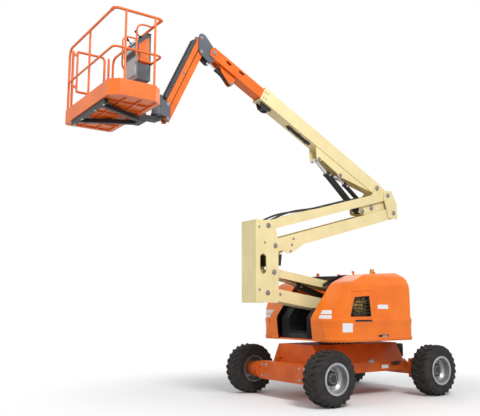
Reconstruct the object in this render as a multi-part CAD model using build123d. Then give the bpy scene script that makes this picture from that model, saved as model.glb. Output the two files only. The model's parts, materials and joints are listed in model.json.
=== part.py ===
from build123d import *
import math
import os

# Self-propelled articulating boom lift, millimetres, X to the platform, Y to the machine's left, Z up
# Fits: fixed pieces sit seat_gap apart, and pins run in bores larger by run_gap
seat_gap = 0.3
run_gap = 0.1
past = 10.0

# Wheels and axles
wheelbase = 2370.0
track = 2070.0
tyre_od = 838.0
tyre_width = 330.0
tyre_sides = 48
lug_count = 24
lug_height = 24.0
lug_wide = 46.0
lug_long = 158.0
lug_skew = math.radians(24)
rim_seat_r = 222.0
rim_flange_r = 238.0
hub_r = 104.0
hub_step = 40.0
motor_r = 115.0
axle_half = 85.0
kingpin_set = 315.0
kingpin_r = 30.0
yoke_t = 30.0
yoke_half = 60.0
arm_x = -170.0
arm_y = -30.0
steer_rod_r = 20.0
hub_z = tyre_od / 2
front_x = wheelbase / 2
rear_x = -wheelbase / 2
wheel_y = track / 2
kingpin_y = wheel_y - kingpin_set
hub_face = wheel_y - hub_step - seat_gap

# Chassis, slew ring and deck
frame_front = front_x - axle_half - 100
frame_rear = rear_x + axle_half + 150
frame_foot = hub_z - 19
frame_knee = hub_z + 141
frame_top = hub_z + 441
frame_half = 590.0
frame_crown = 430.0
frame_wall = 12.0
eye_r = 25.0
eye_y = 380.0
eye_reach = 80.0
eye_half = 45.0
eye_z = hub_z + 221
eye_t = 25.0
ring_r = 340.0
ring_wall = 70.0
ring_h = 75.0
deck_z = frame_top + ring_h
deck_t = 25.0
deck_top = deck_z + deck_t
deck_rear = -700.0
deck_front = 970.0
tail_x = -930.0
tail_half = 420.0

# Hoods, with heights above the deck
hood_rear = -770.0
hood_front = 1040.0
hood_side = 1020.0
hood_inner = 450.0
hood_sill = -3.0
hood_belt = 370.0
hood_crown = 1135.0
hood_wall = 8.0
belt_step = 7.0
vent_t = 12.0
vent_lap = 28.0
vent_bars = 6
hinge_y = 441.5
hinge_h = 1134.0
hinge_r = 5.0
hinge_xs = (-450.0, 60.0)

# Tower: base pins on the turntable, arms at their angle in the photo, steps from arm pin to tie pin
mast_low = (-573.0, deck_z + 413)
low_step = (-130.0, 330.0)
low_angle = math.radians(8.8)
low_len = 2300.0
upright_step = (-160.0, 760.0)
up_step = (140.0, 320.0)
up_angle = math.radians(15.3)
up_len = 2910.0
pin_r = 30.0
plate_in = 184.0
plate_out = 200.0
link_in = 168.0
link_out = 178.0
bar_in = 136.0
low_arm_h = 195.0
low_tie_h = 130.0
up_arm_h = 205.0
up_tie_h = 155.0
web_t = 10.0
head_in = 118.0
head_out = 130.0

# Main boom and fly boom, in lengths along the boom and heights across it
boom_step = (350.0, 450.0)
boom_angle = math.radians(27.4)
boom_pin_r = 40.0
boom_half = 112.0
boom_top = 118.0
boom_low = -124.0
boom_wall = 8.0
boom_tail = -80.0
boom_tip = 2956.0
fly_half = 96.0
fly_top = 84.0
fly_low = -94.0
fly_wall = 7.0
fly_tail = 700.0
nose_u = 4028.0
nose_pin_r = 28.0
lift_step = (757.0, -18.0)
level_step = (517.0, 62.0)
lift_eye = (1410.0, -300.0)
level_eye = (860.0, -280.0)
slave_base = (3510.0, -216.0)
slave_step = (60.0, -150.0)

# Jib and platform, each placed from the pin before it
jib_step = (238.0, 197.0)
jib_angle = math.radians(-64.5)
jib_len = 1340.0
jib_spread = 230.0
jib_h = 80.0
tie_h = 90.0
jib_out = 60.0
jib_in = 48.0
jib_pin_r = 22.0
jib_plate_in = 66.0
jib_plate_out = 82.0
jib_eye_u = 700.0
jib_eye_v = -8.0
jib_base_drop = 125.0
duct_h = 58.0
rotator_reach = 143.0
rotator_r = 86.0
tray_reach = 353.0
tray_depth = 765.0
tray_half = 905.0
tray_drop = 100.0
toe_h = 220.0
toe_t = 8.0
tray_cut = 120.0
tray_nick = 40.0
rib_h = 20.0
rib_t = 14.0
floor_t = 10.0
beam_h = 62.0
rail_r = 19.0
mid_r = 16.0
hoop_r = 13.0
rail_bend = 100.0
rail_elbow = 70.0
mid_h = 660.0
rail_h = 1200.0
gate_in = 70.0
gate_pin_r = 8.0
gate_eye_r = 13.0


def prism_xz(points, low, high):
    face = make_face(Polyline(*[(x, low, z) for x, z in points], close=True))
    return extrude(face, amount=high - low, dir=(0, 1, 0))


def prism_xy(points, low, high):
    face = make_face(Polyline(*[(x, y, low) for x, y in points], close=True))
    return extrude(face, amount=high - low, dir=(0, 0, 1))


def prism_yz(points, low, high):
    face = make_face(Polyline(*[(low, y, z) for y, z in points], close=True))
    return extrude(face, amount=high - low, dir=(1, 0, 0))


def block(x0, x1, y0, y1, z0, z1):
    return Pos((x0 + x1) / 2, (y0 + y1) / 2, (z0 + z1) / 2) * Box(x1 - x0, y1 - y0, z1 - z0)


def shaft(pin, r, y0, y1):
    return Pos(pin[0], (y0 + y1) / 2, pin[1]) * Rot(90, 0, 0) * Cylinder(r, y1 - y0)


def post(x, y, r, z0, z1):
    return Pos(x, y, (z0 + z1) / 2) * Cylinder(r, z1 - z0)


def rod(a, b, r):
    way = Vector(*b) - Vector(*a)
    return Plane(origin=a, z_dir=way) * Cylinder(r, way.length, align=(Align.CENTER, Align.CENTER, Align.MIN))


def pair(shape):
    return shape + mirror(shape, about=Plane.XZ)


def move(pin, step):
    return (pin[0] + step[0], pin[1] + step[1])


def at(origin, angle, u, v=0.0):
    x = origin[0] + u * math.cos(angle) - v * math.sin(angle)
    return (x, origin[1] + u * math.sin(angle) + v * math.cos(angle))


def along(origin, angle, points):
    return [at(origin, angle, u, v) for u, v in points]


def strip(u0, u1, v0, v1):
    return [(u0, v0), (u1, v0), (u1, v1), (u0, v1)]


def bar(length, height, reach, slope):
    half = height / 2
    return [(-reach, -half + slope), (-reach + slope, -half), (length + reach - slope, -half),
            (length + reach, -half + slope),
            (length + reach, half - slope), (length + reach - slope, half), (-reach + slope, half),
            (-reach, half - slope)]


def pill(a, b, r, y0, y1):
    way = math.atan2(b[1] - a[1], b[0] - a[0])
    reach = math.hypot(b[0] - a[0], b[1] - a[1])
    return prism_xz(along(a, way, strip(0, reach, -r, r)), y0, y1) + shaft(a, r, y0, y1) + shaft(b, r, y0, y1)


nodes = {}

# Wheels: a many-sided carcass with two staggered rows of bar lugs, and a deep dished rim
half_w = tyre_width / 2
tread_r = tyre_od / 2 - lug_height
wall_r = tyre_od / 2 - 101
shoulder_r = tyre_od / 2 - 51
rings = [(-half_w, wall_r), (-half_w + 8, shoulder_r), (-half_w + 34, tread_r),
         (half_w - 34, tread_r), (half_w - 8, shoulder_r), (half_w, wall_r)]
carcass = loft([Plane(origin=(0, y, 0), x_dir=(1, 0, 0), z_dir=(0, 1, 0)) * RegularPolygon(r,
                                                                                           tyre_sides) for y,
                                                                                           r in rings],
               ruled=True)
bead = Plane(origin=(0, -half_w - past, 0), x_dir=(1, 0, 0), z_dir=(0, 1, 0)) * RegularPolygon(rim_seat_r,
                                                                                               tyre_sides)
carcass = carcass - extrude(bead, amount=tyre_width + 2 * past, dir=(0, 1, 0))
lug_reach = (lug_wide * math.cos(lug_skew) + lug_long * math.sin(lug_skew)) / 2
lug_top = math.sqrt((tyre_od / 2) ** 2 - lug_reach ** 2)
lug = Pos(0, half_w - 87, lug_top - lug_height) * Rot(0, 0, math.degrees(lug_skew)) * Box(lug_wide, lug_long,
                                                                                          2 * lug_height)
lug = lug & block(-lug_long, lug_long, 2, half_w - 4, 0, tyre_od / 2)
lugs = []
for k in range(lug_count):
    turn = 360.0 / lug_count * k
    lugs.append(Rot(0, turn, 0) * lug)
    lugs.append(Rot(0, turn + 180.0 / lug_count, 0) * mirror(lug, about=Plane.XZ))
tyre = carcass.fuse(*lugs)
lip = half_w + seat_gap
seat_r = rim_seat_r - 1.2
rim_outline = [(0, -hub_step), (hub_r + 4, -hub_step), (hub_r + 4, 18), (150, 18), (190, 58),
               (seat_r - 9, 58),
               (seat_r - 9, 15 - half_w), (seat_r, 15 - half_w), (seat_r, lip), (rim_flange_r, lip),
               (rim_flange_r, lip + 8),
               (204, lip + 8), (204, 70), (186, 70), (146, 30), (hub_r, 30), (hub_r, 74), (80, 90), (0, 90)]
rim = revolve(make_face(Polyline(*[(r, y) for r, y in rim_outline], close=True)), Axis.Y)
wheel_table = [("front_left", front_x, 1), ("front_right", front_x, -1), ("rear_left", rear_x, 1),
               ("rear_right", rear_x, -1)]
for name, x, side in wheel_table:
    for kind, shape in (("tyre", tyre), ("rim", rim)):
        turned = shape if side > 0 else mirror(shape, about=Plane.XZ)
        nodes[kind + "_" + name] = Pos(x, side * wheel_y, hub_z) * turned

# Chassis: one welded box, open below, with tie-down lugs at its ends and a cover on the rear plate
wall = frame_wall
outer = [(-frame_half, frame_foot), (-frame_half, frame_knee), (-frame_crown, frame_top),
         (frame_crown, frame_top), (frame_half, frame_knee), (frame_half, frame_foot)]
inner = [(-frame_half + wall, frame_foot - past), (-frame_half + wall, frame_knee),
         (-frame_crown + wall, frame_top - wall),
         (frame_crown - wall, frame_top - wall), (frame_half - wall, frame_knee),
         (frame_half - wall, frame_foot - past)]
chassis = prism_yz(outer, frame_rear, frame_front) - prism_yz(inner, frame_rear + wall, frame_front - wall)
for x, way in ((frame_front, 1), (frame_rear, -1)):
    for y in (-eye_y, eye_y):
        tip = x + way * eye_reach
        chassis += block(min(x, tip), max(x, tip), y - eye_half, y + eye_half, eye_z, eye_z + eye_t)
        chassis -= post(x + way * (eye_reach + 4) / 2, y, eye_r, eye_z - past, eye_z + eye_t + past)
nodes["chassis_frame"] = chassis
cover_half = eye_y - eye_half - 15
cover = [(frame_rear - seat_gap, frame_knee + 30), (frame_rear - seat_gap, frame_top - 15),
         (frame_rear - 90, frame_top - 15),
         (frame_rear - 130, frame_top - 70), (frame_rear - 130, frame_knee + 30)]
nodes["rear_cover"] = prism_xz(cover, -cover_half, cover_half)
ring = post(0, 0, ring_r, frame_top, deck_z - seat_gap)
nodes["slew_ring"] = ring - post(0, 0, ring_r - ring_wall, frame_top - past, deck_z + past)

# Front axle: box beam with a drive motor at each end
beam_end = wheel_y - 395
axle = block(front_x - axle_half, front_x + axle_half, -beam_end, beam_end, hub_z - 139, hub_z + 151)
axle += block(frame_front, front_x - axle_half, -500, 500, hub_z - 9, hub_z + 141)
axle += pair(shaft((front_x, hub_z), motor_r, beam_end, hub_face))
nodes["front_axle"] = axle

# Rear axle: beam, yokes, kingpins and the fixed steering cylinder
steer_x = rear_x + arm_x
low_jaw = hub_z - 161
high_jaw = hub_z + 161
yoke_y = kingpin_y - 140
rear = block(rear_x - axle_half, rear_x + axle_half, -yoke_y + 20, yoke_y - 20, hub_z - 99, hub_z + 101)
rear += block(rear_x + axle_half, frame_rear, -300, 300, hub_z - 9, hub_z + 101)
yoke = block(rear_x - yoke_half, rear_x + yoke_half, yoke_y - 40, yoke_y, low_jaw, high_jaw)
for z in (low_jaw, high_jaw - yoke_t):
    yoke += block(rear_x - yoke_half, rear_x + yoke_half, yoke_y, kingpin_y + 65, z, z + yoke_t)
yoke += post(rear_x, kingpin_y, kingpin_r, low_jaw + yoke_t, high_jaw - yoke_t)
rear += pair(yoke)
cylinder_half = 230.0
rear += shaft((steer_x, hub_z), 2 * steer_rod_r, -cylinder_half, cylinder_half)
rear += pair(block(steer_x, rear_x - axle_half, 60, 120, hub_z - 29, hub_z + 29))
rear -= shaft((steer_x, hub_z), steer_rod_r + run_gap, -cylinder_half - past, cylinder_half + past)
nodes["rear_axle"] = rear
knuckle = post(rear_x, kingpin_y, 58, low_jaw + yoke_t + 5, high_jaw - yoke_t - 5)
knuckle += shaft((rear_x, hub_z), hub_r - 4, kingpin_y, hub_face)
ball_y = kingpin_y + arm_y
arm_plan = [(rear_x, kingpin_y - 34), (rear_x, kingpin_y + 30), (steer_x - 25, ball_y + 26),
            (steer_x - 25, ball_y - 26)]
arm = prism_xy(arm_plan, hub_z - 26, hub_z + 26)
arm -= block(steer_x - 40, steer_x + 55, ball_y - 60, ball_y + 60, hub_z - 12, hub_z + 12)
knuckle += arm
knuckle -= post(rear_x, kingpin_y, kingpin_r + run_gap, low_jaw, high_jaw)
nodes["knuckle_left"] = knuckle
nodes["knuckle_right"] = mirror(knuckle, about=Plane.XZ)
tongue_y = ball_y - 50
steer = shaft((steer_x, hub_z), steer_rod_r, -tongue_y, tongue_y)
steer += pair(block(steer_x - 22, steer_x + 22, tongue_y - 40, ball_y + 22, hub_z - 6, hub_z + 6))
nodes["steer_rod"] = steer

# Turntable: deck, mast plates with the tower's lower pins, inner walls under the hoods' hinges
mast_tie = move(mast_low, low_step)
deck_plan = [(deck_rear, -hood_side + 80), (deck_rear, hood_side - 80), (deck_rear + 40, hood_side - 35),
             (560, hood_side - 35),
             (780, hood_side - 150), (deck_front, hood_side - 380), (deck_front, -hood_side + 380),
             (780, -hood_side + 150),
             (560, -hood_side + 35), (deck_rear + 40, -hood_side + 35)]
deck = prism_xy(deck_plan, deck_z, deck_top)
mast = [(tail_x, deck_top), (mast_low[0] + 313, deck_top), (mast_low[0] + 143, mast_low[1] + 102),
        (mast_tie[0] + 113, mast_tie[1] + 82), (mast_tie[0] - 87, mast_tie[1] + 82),
        (tail_x, mast_low[1] + 152)]
deck += pair(prism_xz(mast, plate_in, plate_out))
lid_in = 427.0
lid_out = 435.0
lid = [(deck_rear + 60, deck_top), (560, deck_top), (560, deck_z + 892), (232, deck_z + 1029 - seat_gap),
       (-560, deck_z + 1065 - seat_gap), (deck_rear + 60, deck_z + 1005)]
deck += pair(prism_xz(lid, lid_in, lid_out))
deck += block(tail_x, deck_rear, -tail_half, tail_half, deck_z, deck_top)
deck += shaft(mast_low, pin_r, -plate_in, plate_in)
deck += pair(shaft(mast_tie, pin_r, 150, plate_in))
hinge_z = deck_z + hinge_h
for x in hinge_xs:
    deck += pair(block(x - 8, x + 8, lid_out, lid_out + 13, deck_z + 965, hinge_z + 10))
    deck += pair(rod((x + 8, hinge_y, hinge_z), (x + 26, hinge_y, hinge_z), hinge_r))
nodes["turntable_deck"] = deck
front_w = hood_rear - 8
ballast = [(front_w, hood_side - 120), (tail_x, 610), (tail_x - 155, 300), (tail_x - 155, -300),
           (tail_x, -610), (front_w, -hood_side + 120)]
weight = prism_xy(ballast, deck_z, deck_z + 545)
slope = [(front_w + past, deck_z), (front_w + past, deck_z + 545), (tail_x, deck_z + 545),
         (tail_x - 155, deck_z + 430), (tail_x - 155, deck_z)]
weight = weight & prism_xz(slope, -hood_side, hood_side)
weight -= block(tail_x - seat_gap, front_w + past, -tail_half - seat_gap, tail_half + seat_gap,
                deck_z - past, deck_z + 600)
nodes["counterweight"] = weight
nodes["engine_block"] = block(-330, 520, 470, 900, deck_top, deck_z + 765)
nodes["tank_block"] = block(-430, 450, -900, -470, deck_top, deck_z + 585)
bay_x0 = -230.0
bay_x1 = 930.0
bay = [(bay_x0, deck_top), (bay_x1, deck_top), (bay_x1, deck_z + 365), (bay_x1 - 130, deck_z + 525),
       (bay_x0, deck_z + 525)]
inside = pair(prism_xz(bay, 230, lid_in - 3))
inside += block(bay_x0, bay_x1, -230, 230, deck_top, deck_z + 105)
nodes["inner_bay"] = inside
screen_t = 40.0
screen = [(-560, deck_z + 1065), (-560, deck_z + 1065 + screen_t), (232, deck_z + 1029 + screen_t),
          (575, deck_z + 887 + screen_t),
          (575, deck_z + 887), (232, deck_z + 1029)]
nodes["top_screen"] = pair(prism_xz(screen, 240, lid_out))
beacon_z = deck_z + 1065 + screen_t
nodes["beacon"] = post(-500, 340, 45, beacon_z, beacon_z + 10) + post(-500, 340, 38, beacon_z + 10,
                                                                      beacon_z + 100)

# Hoods: open shells where three rounded outlines meet, the left one made and the right one mirrored
# Columns: the two coordinates of a corner and its radius
hood_profile = [(hood_rear + 40, hood_sill, 0), (hood_front - 40, hood_sill, 0),
                (hood_front, hood_belt + 5, 150), (600, 935, 300),
                (230, 1083, 400), (hood_rear + 170, 1125, 80), (hood_rear + 35, 1000, 120),
                (hood_rear, 300, 150)]
hood_plan = [(hood_rear, hood_inner, 0), (hood_front, hood_inner, 0), (hood_front, hood_side, 400),
             (hood_rear, hood_side, 130)]
hood_across = [(hood_inner, hood_sill, 0), (hood_side, hood_sill, 0), (hood_side, hood_belt + 5, 200),
               (hood_side - 55, 905, 150),
               (hood_side - 120, 1050, 100), (hood_side - 240, hood_crown, 120), (hood_inner, hood_crown, 0)]


def rounded(table, plane, inset):
    face = make_face(Polyline(*[(a, b) for a, b, r in table], close=True))
    for a, b, r in table:
        if r:
            face = fillet(face.vertices().sort_by_distance((a, b, 0))[0], r)
    if inset:
        face = offset(face, -inset, kind=Kind.INTERSECTION)
    return plane * face


def hood_solid(inset):
    side = extrude(rounded(hood_profile, Plane.XZ, inset), amount=hood_side + past, dir=(0, 1, 0))
    top = extrude(rounded(hood_plan, Plane.XY, inset), amount=2 * hood_crown, both=True)
    end = extrude(rounded(hood_across, Plane.YZ, inset), amount=2 * hood_front, both=True)
    return Pos(0, 0, deck_z) * (side & top & end)


def hollow(inset):
    core = hood_solid(inset)
    drop = inset + past
    return core + Pos(0, -drop, 0) * core + Pos(0, 0, -drop) * core + Pos(0, -drop, -drop) * core


skirt = hood_solid(0) & block(hood_rear - past, hood_front + past, 0, hood_side + past, 0, deck_z + hood_belt)
hood = hood_solid(belt_step) + skirt - hollow(belt_step + hood_wall)
window = [(560, deck_z + 690), (240, deck_z + 715), (240, deck_z + 395), (690, deck_z + 395)]
hood -= prism_xz(window, hood_side - 120, hood_side + past)
for x in hinge_xs:
    crest = deck_z + 1083 + (230 - x) * 42 / 830
    hood += block(x + 8 + seat_gap, x + 26, hinge_y - 8, hood_inner + 30, hinge_z - 11, hinge_z + 11)
    hood += block(x + 8 + seat_gap, x + 26, hood_inner, hood_inner + 30, crest - belt_step - 6, hinge_z)
    hood -= rod((x, hinge_y, hinge_z), (x + 40, hinge_y, hinge_z), hinge_r + run_gap)
nodes["hood_left"] = hood
nodes["hood_right"] = mirror(hood, about=Plane.XZ)
vent_in = belt_step + hood_wall + seat_gap
vent = [(560 + vent_lap, deck_z + 690 + vent_lap), (240 - vent_lap, deck_z + 715 + vent_lap),
        (240 - vent_lap, deck_z + 395 - vent_lap), (690 + vent_lap, deck_z + 395 - vent_lap)]
grille = (hood_solid(vent_in) - hood_solid(vent_in + vent_t)) & prism_xz(vent, hood_side - 150,
                                                                         hood_side + past)
for k in range(vent_bars):
    z = deck_z + 400 + 52 * k
    grille -= prism_xz([(255, z), (675 - 21 * k, z), (660 - 21 * k, z + 34), (255, z + 34)], hood_side - 160,
                       hood_side + past)
nodes["vent_left"] = grille
nodes["vent_right"] = mirror(grille, about=Plane.XZ)

# Lower parallelogram: arm as a channel open above, tie as a channel open below
pin_low_arm = at(mast_low, low_angle, low_len)
pin_low_tie = move(pin_low_arm, low_step)
arm_low = -low_arm_h / 2
low_arm = pair(prism_xz(along(mast_low, low_angle, bar(low_len, low_arm_h, 62, 40)), link_in, link_out))
low_arm += prism_xz(along(mast_low, low_angle, strip(120, low_len - 120, arm_low, arm_low + web_t)),
                    -link_in, link_in)
for pin in (mast_low, pin_low_arm):
    low_arm -= shaft(pin, pin_r + run_gap, -plate_out, plate_out)
nodes["lower_arm"] = low_arm
tie_top = low_tie_h / 2
low_tie = pair(prism_xz(along(mast_tie, low_angle, bar(low_len, low_tie_h, 50, 30)), link_in, link_out))
low_tie += prism_xz(along(mast_tie, low_angle, strip(170, low_len - 200, tie_top - web_t, tie_top)),
                    -link_in, link_in)
for pin in (mast_tie, pin_low_tie):
    low_tie -= shaft(pin, pin_r + run_gap, -plate_out, plate_out)
nodes["lower_tie"] = low_tie

# Upright: channel with a closed front, slotted cheeks and stub pins, and a hose guard between its rear edges
pin_up_arm = move(pin_low_arm, upright_step)
pin_up_tie = move(pin_up_arm, up_step)
ux, uz = pin_low_arm
up_front = ux + 230
up_foot = uz - 155
up_crown = uz + 1165
cheek = [(ux - 200, up_foot), (up_front, up_foot), (up_front, up_crown), (ux - 140, up_crown),
         (ux - 220, uz + 860), (ux - 220, uz + 100)]
slot_r = 62.0
slot_x = ux + 86
upright = prism_xz(cheek, plate_in, plate_out)
upright -= pill((slot_x, uz + 362), (slot_x, uz + 558), slot_r, plate_in - past, plate_out + past)
upright = pair(upright)
upright += block(up_front - 16, up_front, -plate_in, plate_in, up_foot, up_crown)
for pin in (pin_low_arm, pin_low_tie, pin_up_arm, pin_up_tie):
    upright += pair(shaft(pin, pin_r, 150, plate_in))
upright += pair(block(pin_low_tie[0] - 20, up_front - 16, 50, 62, pin_low_tie[1] - 45, pin_low_tie[1] + 45))
nodes["upright"] = upright
guard_y = plate_in - seat_gap
guard = [(ux - 305, uz + 625), (ux - 140, uz + 625), (ux - 140, uz + 440), (ux - 280, uz + 440)]
nodes["hose_guard"] = prism_xz(guard, -guard_y, guard_y)

# Upper parallelogram: arm as a channel open above with a knee plate below, tie as two tubes
head_arm = at(pin_up_arm, -up_angle, -up_len)
head_tie = move(head_arm, up_step)
arm_low = -up_arm_h / 2
knee = [(up_len - 620, arm_low), (up_len - 330, arm_low - 85), (up_len - 250, arm_low - 85),
        (up_len - 120, arm_low)]
up_arm = pair(prism_xz(along(head_arm, -up_angle, bar(up_len, up_arm_h, 62, 62)), link_in, link_out))
up_arm += prism_xz(along(head_arm, -up_angle, strip(110, up_len - 110, arm_low, arm_low + web_t)), -link_in,
                   link_in)
up_arm += pair(prism_xz(along(head_arm, -up_angle, knee), link_in, link_out))
for pin in (head_arm, pin_up_arm):
    up_arm -= shaft(pin, pin_r + run_gap, -plate_out, plate_out)
nodes["upper_arm"] = up_arm
tube_t = 6.0
tube_half = up_tie_h / 2
tube = prism_xz(along(head_tie, -up_angle, bar(up_len, up_tie_h, 62, 30)), bar_in, link_out)
bore = strip(80, up_len - 80, -tube_half + tube_t, tube_half - tube_t)
tube -= prism_xz(along(head_tie, -up_angle, bore), bar_in + tube_t, link_out - tube_t)
up_tie = pair(tube)
up_tie += shaft(at(head_tie, -up_angle, up_len - 180), 30, -bar_in, bar_in)
for pin in (head_tie, pin_up_tie):
    up_tie -= shaft(pin, pin_r + run_gap, -plate_out, plate_out)
nodes["upper_tie"] = up_tie

# Tower head: cheeks outside the links, inner plates that carry the boom and its cylinders
boom_pivot = move(head_arm, boom_step)
lift_base = move(head_arm, lift_step)
level_base = move(head_arm, level_step)
hx, hz = head_arm
back_x = hx - 84
rear_edge = back_x - 14
cheek = [(rear_edge, hz - 108), (hx + 127, hz - 108), (hx + 237, hz + 252), (hx + 237, hz + 372),
         (hx + 187, hz + 412),
         (hx + 37, hz + 412), (rear_edge, hz + 172)]
tower_head = pair(prism_xz(cheek, plate_in, plate_out))
bx, bz = boom_pivot
lx, lz = lift_base
web = [(rear_edge, hz - 68), (rear_edge, hz + 192), (hx + 107, hz + 412), (bx - 73, bz + 67),
       (bx + 37, bz + 74), (bx + 72, bz + 12),
       (bx + 72, bz - 78), (lx + 58, lz + 52), (lx + 58, lz - 34), (lx + 10, lz - 58), (hx + 167, hz - 68)]
tower_head += pair(prism_xz(web, head_in, head_out))
tower_head += block(rear_edge, back_x, -plate_in, plate_in, hz + 12, hz + 172)
for pin in (head_tie, head_arm):
    tower_head += pair(shaft(pin, pin_r, head_in, plate_in))
tower_head += shaft(boom_pivot, boom_pin_r, -head_out, head_out)
lift_pin_r = 25.0
level_pin_r = 20.0
tower_head += shaft(lift_base, lift_pin_r, -head_in, head_in)
tower_head += shaft(level_base, level_pin_r, -head_in, head_in)
nodes["tower_head"] = tower_head

# Main boom: box tube with gussets below for the two rod eyes, and wear pads in its mouth
G, A = boom_pivot, boom_angle
bore_low, bore_top = boom_low + boom_wall, boom_top - boom_wall
bore_half = boom_half - boom_wall
boom = prism_xz(along(G, A, strip(boom_tail, boom_tip, boom_low, boom_top)), -boom_half, boom_half)
boom -= prism_xz(along(G, A, strip(boom_tail - past, boom_tip + past, bore_low, bore_top)), -bore_half,
                 bore_half)
gusset_in, gusset_out = 84.0, 98.0
lu, lv = lift_eye
eu, ev = level_eye
gusset = [(lu + 161, boom_low), (lu + 60, lv), (lu + 25, lv - 38), (lu - 25, lv - 38), (lu - 70, lv + 32),
          (eu + 70, ev - 8),
          (eu + 30, ev - 40), (eu - 30, ev - 40), (eu - 70, ev - 10), (70, boom_low)]
boom += pair(prism_xz(along(G, A, gusset), gusset_in, gusset_out))
lift_pin = at(G, A, *lift_eye)
level_pin = at(G, A, *level_eye)
boom += pair(shaft(lift_pin, lift_pin_r + 1, 40, gusset_in))
boom += pair(shaft(level_pin, level_pin_r + 2, 40, gusset_in))
boom += shaft(G, boom_pin_r + 18, -boom_half, boom_half)
boom -= shaft(G, boom_pin_r + run_gap, -boom_half - past, boom_half + past)
pad_u0, pad_u1 = boom_tip - 126, boom_tip - 16
for low, high in ((bore_low, fly_low - seat_gap), (fly_top + seat_gap, bore_top)):
    boom += prism_xz(along(G, A, strip(pad_u0, pad_u1, low, high)), -70, 70)
boom += pair(prism_xz(along(G, A, strip(pad_u0, pad_u1, -60, 50)), fly_half + seat_gap, bore_half))
nodes["main_boom"] = boom

# Fly boom: smaller tube with an open nose, slots in its sides and a bracket below for the levelling cylinder
fly_tip = nose_u + 12
mouth_u = fly_tip - 200
fly_outline = [(fly_tail, fly_low), (fly_tip + 30, fly_low), (fly_tip + 60, -40), (fly_tip + 60, 50),
               (fly_tip + 20, fly_top),
               (fly_tail, fly_top)]
fly = prism_xz(along(G, A, fly_outline), -fly_half, fly_half)
fly_in = fly_half - fly_wall
fly -= prism_xz(along(G, A, strip(fly_tail - past, mouth_u + past, fly_low + fly_wall, fly_top - fly_wall)),
                -fly_in, fly_in)
fly -= prism_xz(along(G, A, strip(mouth_u, fly_tip + 80, fly_low - past, fly_top + past)), -fly_in, fly_in)
for u0, u1, v, r in ((3420, 3490, 36, 20), (3700, 3760, 20, 22)):
    fly -= pill(at(G, A, u0, v), at(G, A, u1, v), r, -fly_half - past, fly_half + past)
su, sv = slave_base
nose = [(su - 30, fly_low), (su - 30, sv - 14), (su, sv - 42), (su + 50, sv - 34), (su + 250, sv + 46),
        (su + 330, fly_low)]
slave_pin_r = 16.0
fly += pair(prism_xz(along(G, A, nose), 40, 52))
slave_pin = at(G, A, *slave_base)
fly += shaft(slave_pin, slave_pin_r, -40, 40)
fly_nose = at(G, A, nose_u)
fly += pair(shaft(fly_nose, nose_pin_r, 60, fly_in))
nodes["fly_boom"] = fly

# Jib base: two plates from the fly's nose to the jib's pins, with a levelling arm
jib_pin = move(fly_nose, jib_step)
foot = move(jib_pin, (0, -jib_spread))
slave_eye = move(fly_nose, slave_step)
nx, nz = fly_nose
px, pz = jib_pin
base = [(nx - 45, nz - 20), (nx - 30, nz + 40), (px - 75, pz + 60), (px - 20, pz + 82), (px + 32, pz + 62),
        (px + 45, pz),
        (foot[0] + 45, foot[1]), (foot[0], foot[1] - 45), (slave_eye[0] + 30, slave_eye[1] - 30),
        (slave_eye[0] - 25, slave_eye[1] - 25)]
jib_base = pair(prism_xz(base, jib_plate_in, jib_plate_out))
jib_base += block(nx + 55, nx + 75, -jib_plate_in, jib_plate_in, nz - 60, nz + 150)
for pin in (jib_pin, foot):
    jib_base += pair(shaft(pin, jib_pin_r, 40, jib_plate_in))
jib_base -= pair(shaft(fly_nose, nose_pin_r + run_gap, 55, fly_half))
cyl_base = move(jib_pin, (0, -jib_base_drop))
cx, cz = cyl_base
ear_r = 24.0
jib_base += prism_xz([(nx + 70, cz - 40), (cx, cz - ear_r), (cx + ear_r, cz), (cx, cz + ear_r),
                      (nx + 70, cz + 40)], -10, 10)
jib_foot_r = 14.0
jib_base += shaft(cyl_base, jib_foot_r, -26, 26)
nodes["jib_base"] = jib_base

# Jib: beam open towards the tie, tie open towards the beam, hose duct on the front
J = jib_angle
half = jib_h / 2
tie_half = tie_h / 2
head_pin = at(jib_pin, J, jib_len)
head_foot = move(head_pin, (0, -jib_spread))
beam = prism_xz(along(jib_pin, J, bar(jib_len, jib_h, 36, 14)), -jib_out, jib_out)
beam -= prism_xz(along(jib_pin, J, strip(-60, jib_len + 60, -half - past, half - web_t)), -jib_in, jib_in)
tie_bar = prism_xz(along(foot, J, bar(jib_len, tie_h, 36, 14)), -jib_out, jib_out)
tie_bar -= prism_xz(along(foot, J, strip(-60, jib_len + 60, -tie_half + web_t, tie_half + past)), -jib_in,
                    jib_in)
for u0, u1 in ((-60, 90), (jib_len - 90, jib_len + 60)):
    beam -= prism_xz(along(jib_pin, J, strip(u0, u1, 0, half + past)), -jib_in, jib_in)
    tie_bar -= prism_xz(along(foot, J, strip(u0, u1, -tie_half - past, 0)), -jib_in, jib_in)
jib_eye = at(jib_pin, J, jib_eye_u, jib_eye_v)
beam += pair(shaft(jib_eye, 16, 30, jib_in))
for pin in (jib_pin, head_pin):
    beam -= shaft(pin, jib_pin_r + run_gap, -jib_out - past, jib_out + past)
for pin in (foot, head_foot):
    tie_bar -= shaft(pin, jib_pin_r + run_gap, -jib_out - past, jib_out + past)
nodes["jib_beam"] = beam
nodes["jib_tie"] = tie_bar
duct_low = half + seat_gap
duct = [(50, duct_low), (jib_len - 60, duct_low), (jib_len - 105, half + duct_h), (95, half + duct_h)]
nodes["jib_duct"] = prism_xz(along(jib_pin, J, duct), -50, 50)

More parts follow.
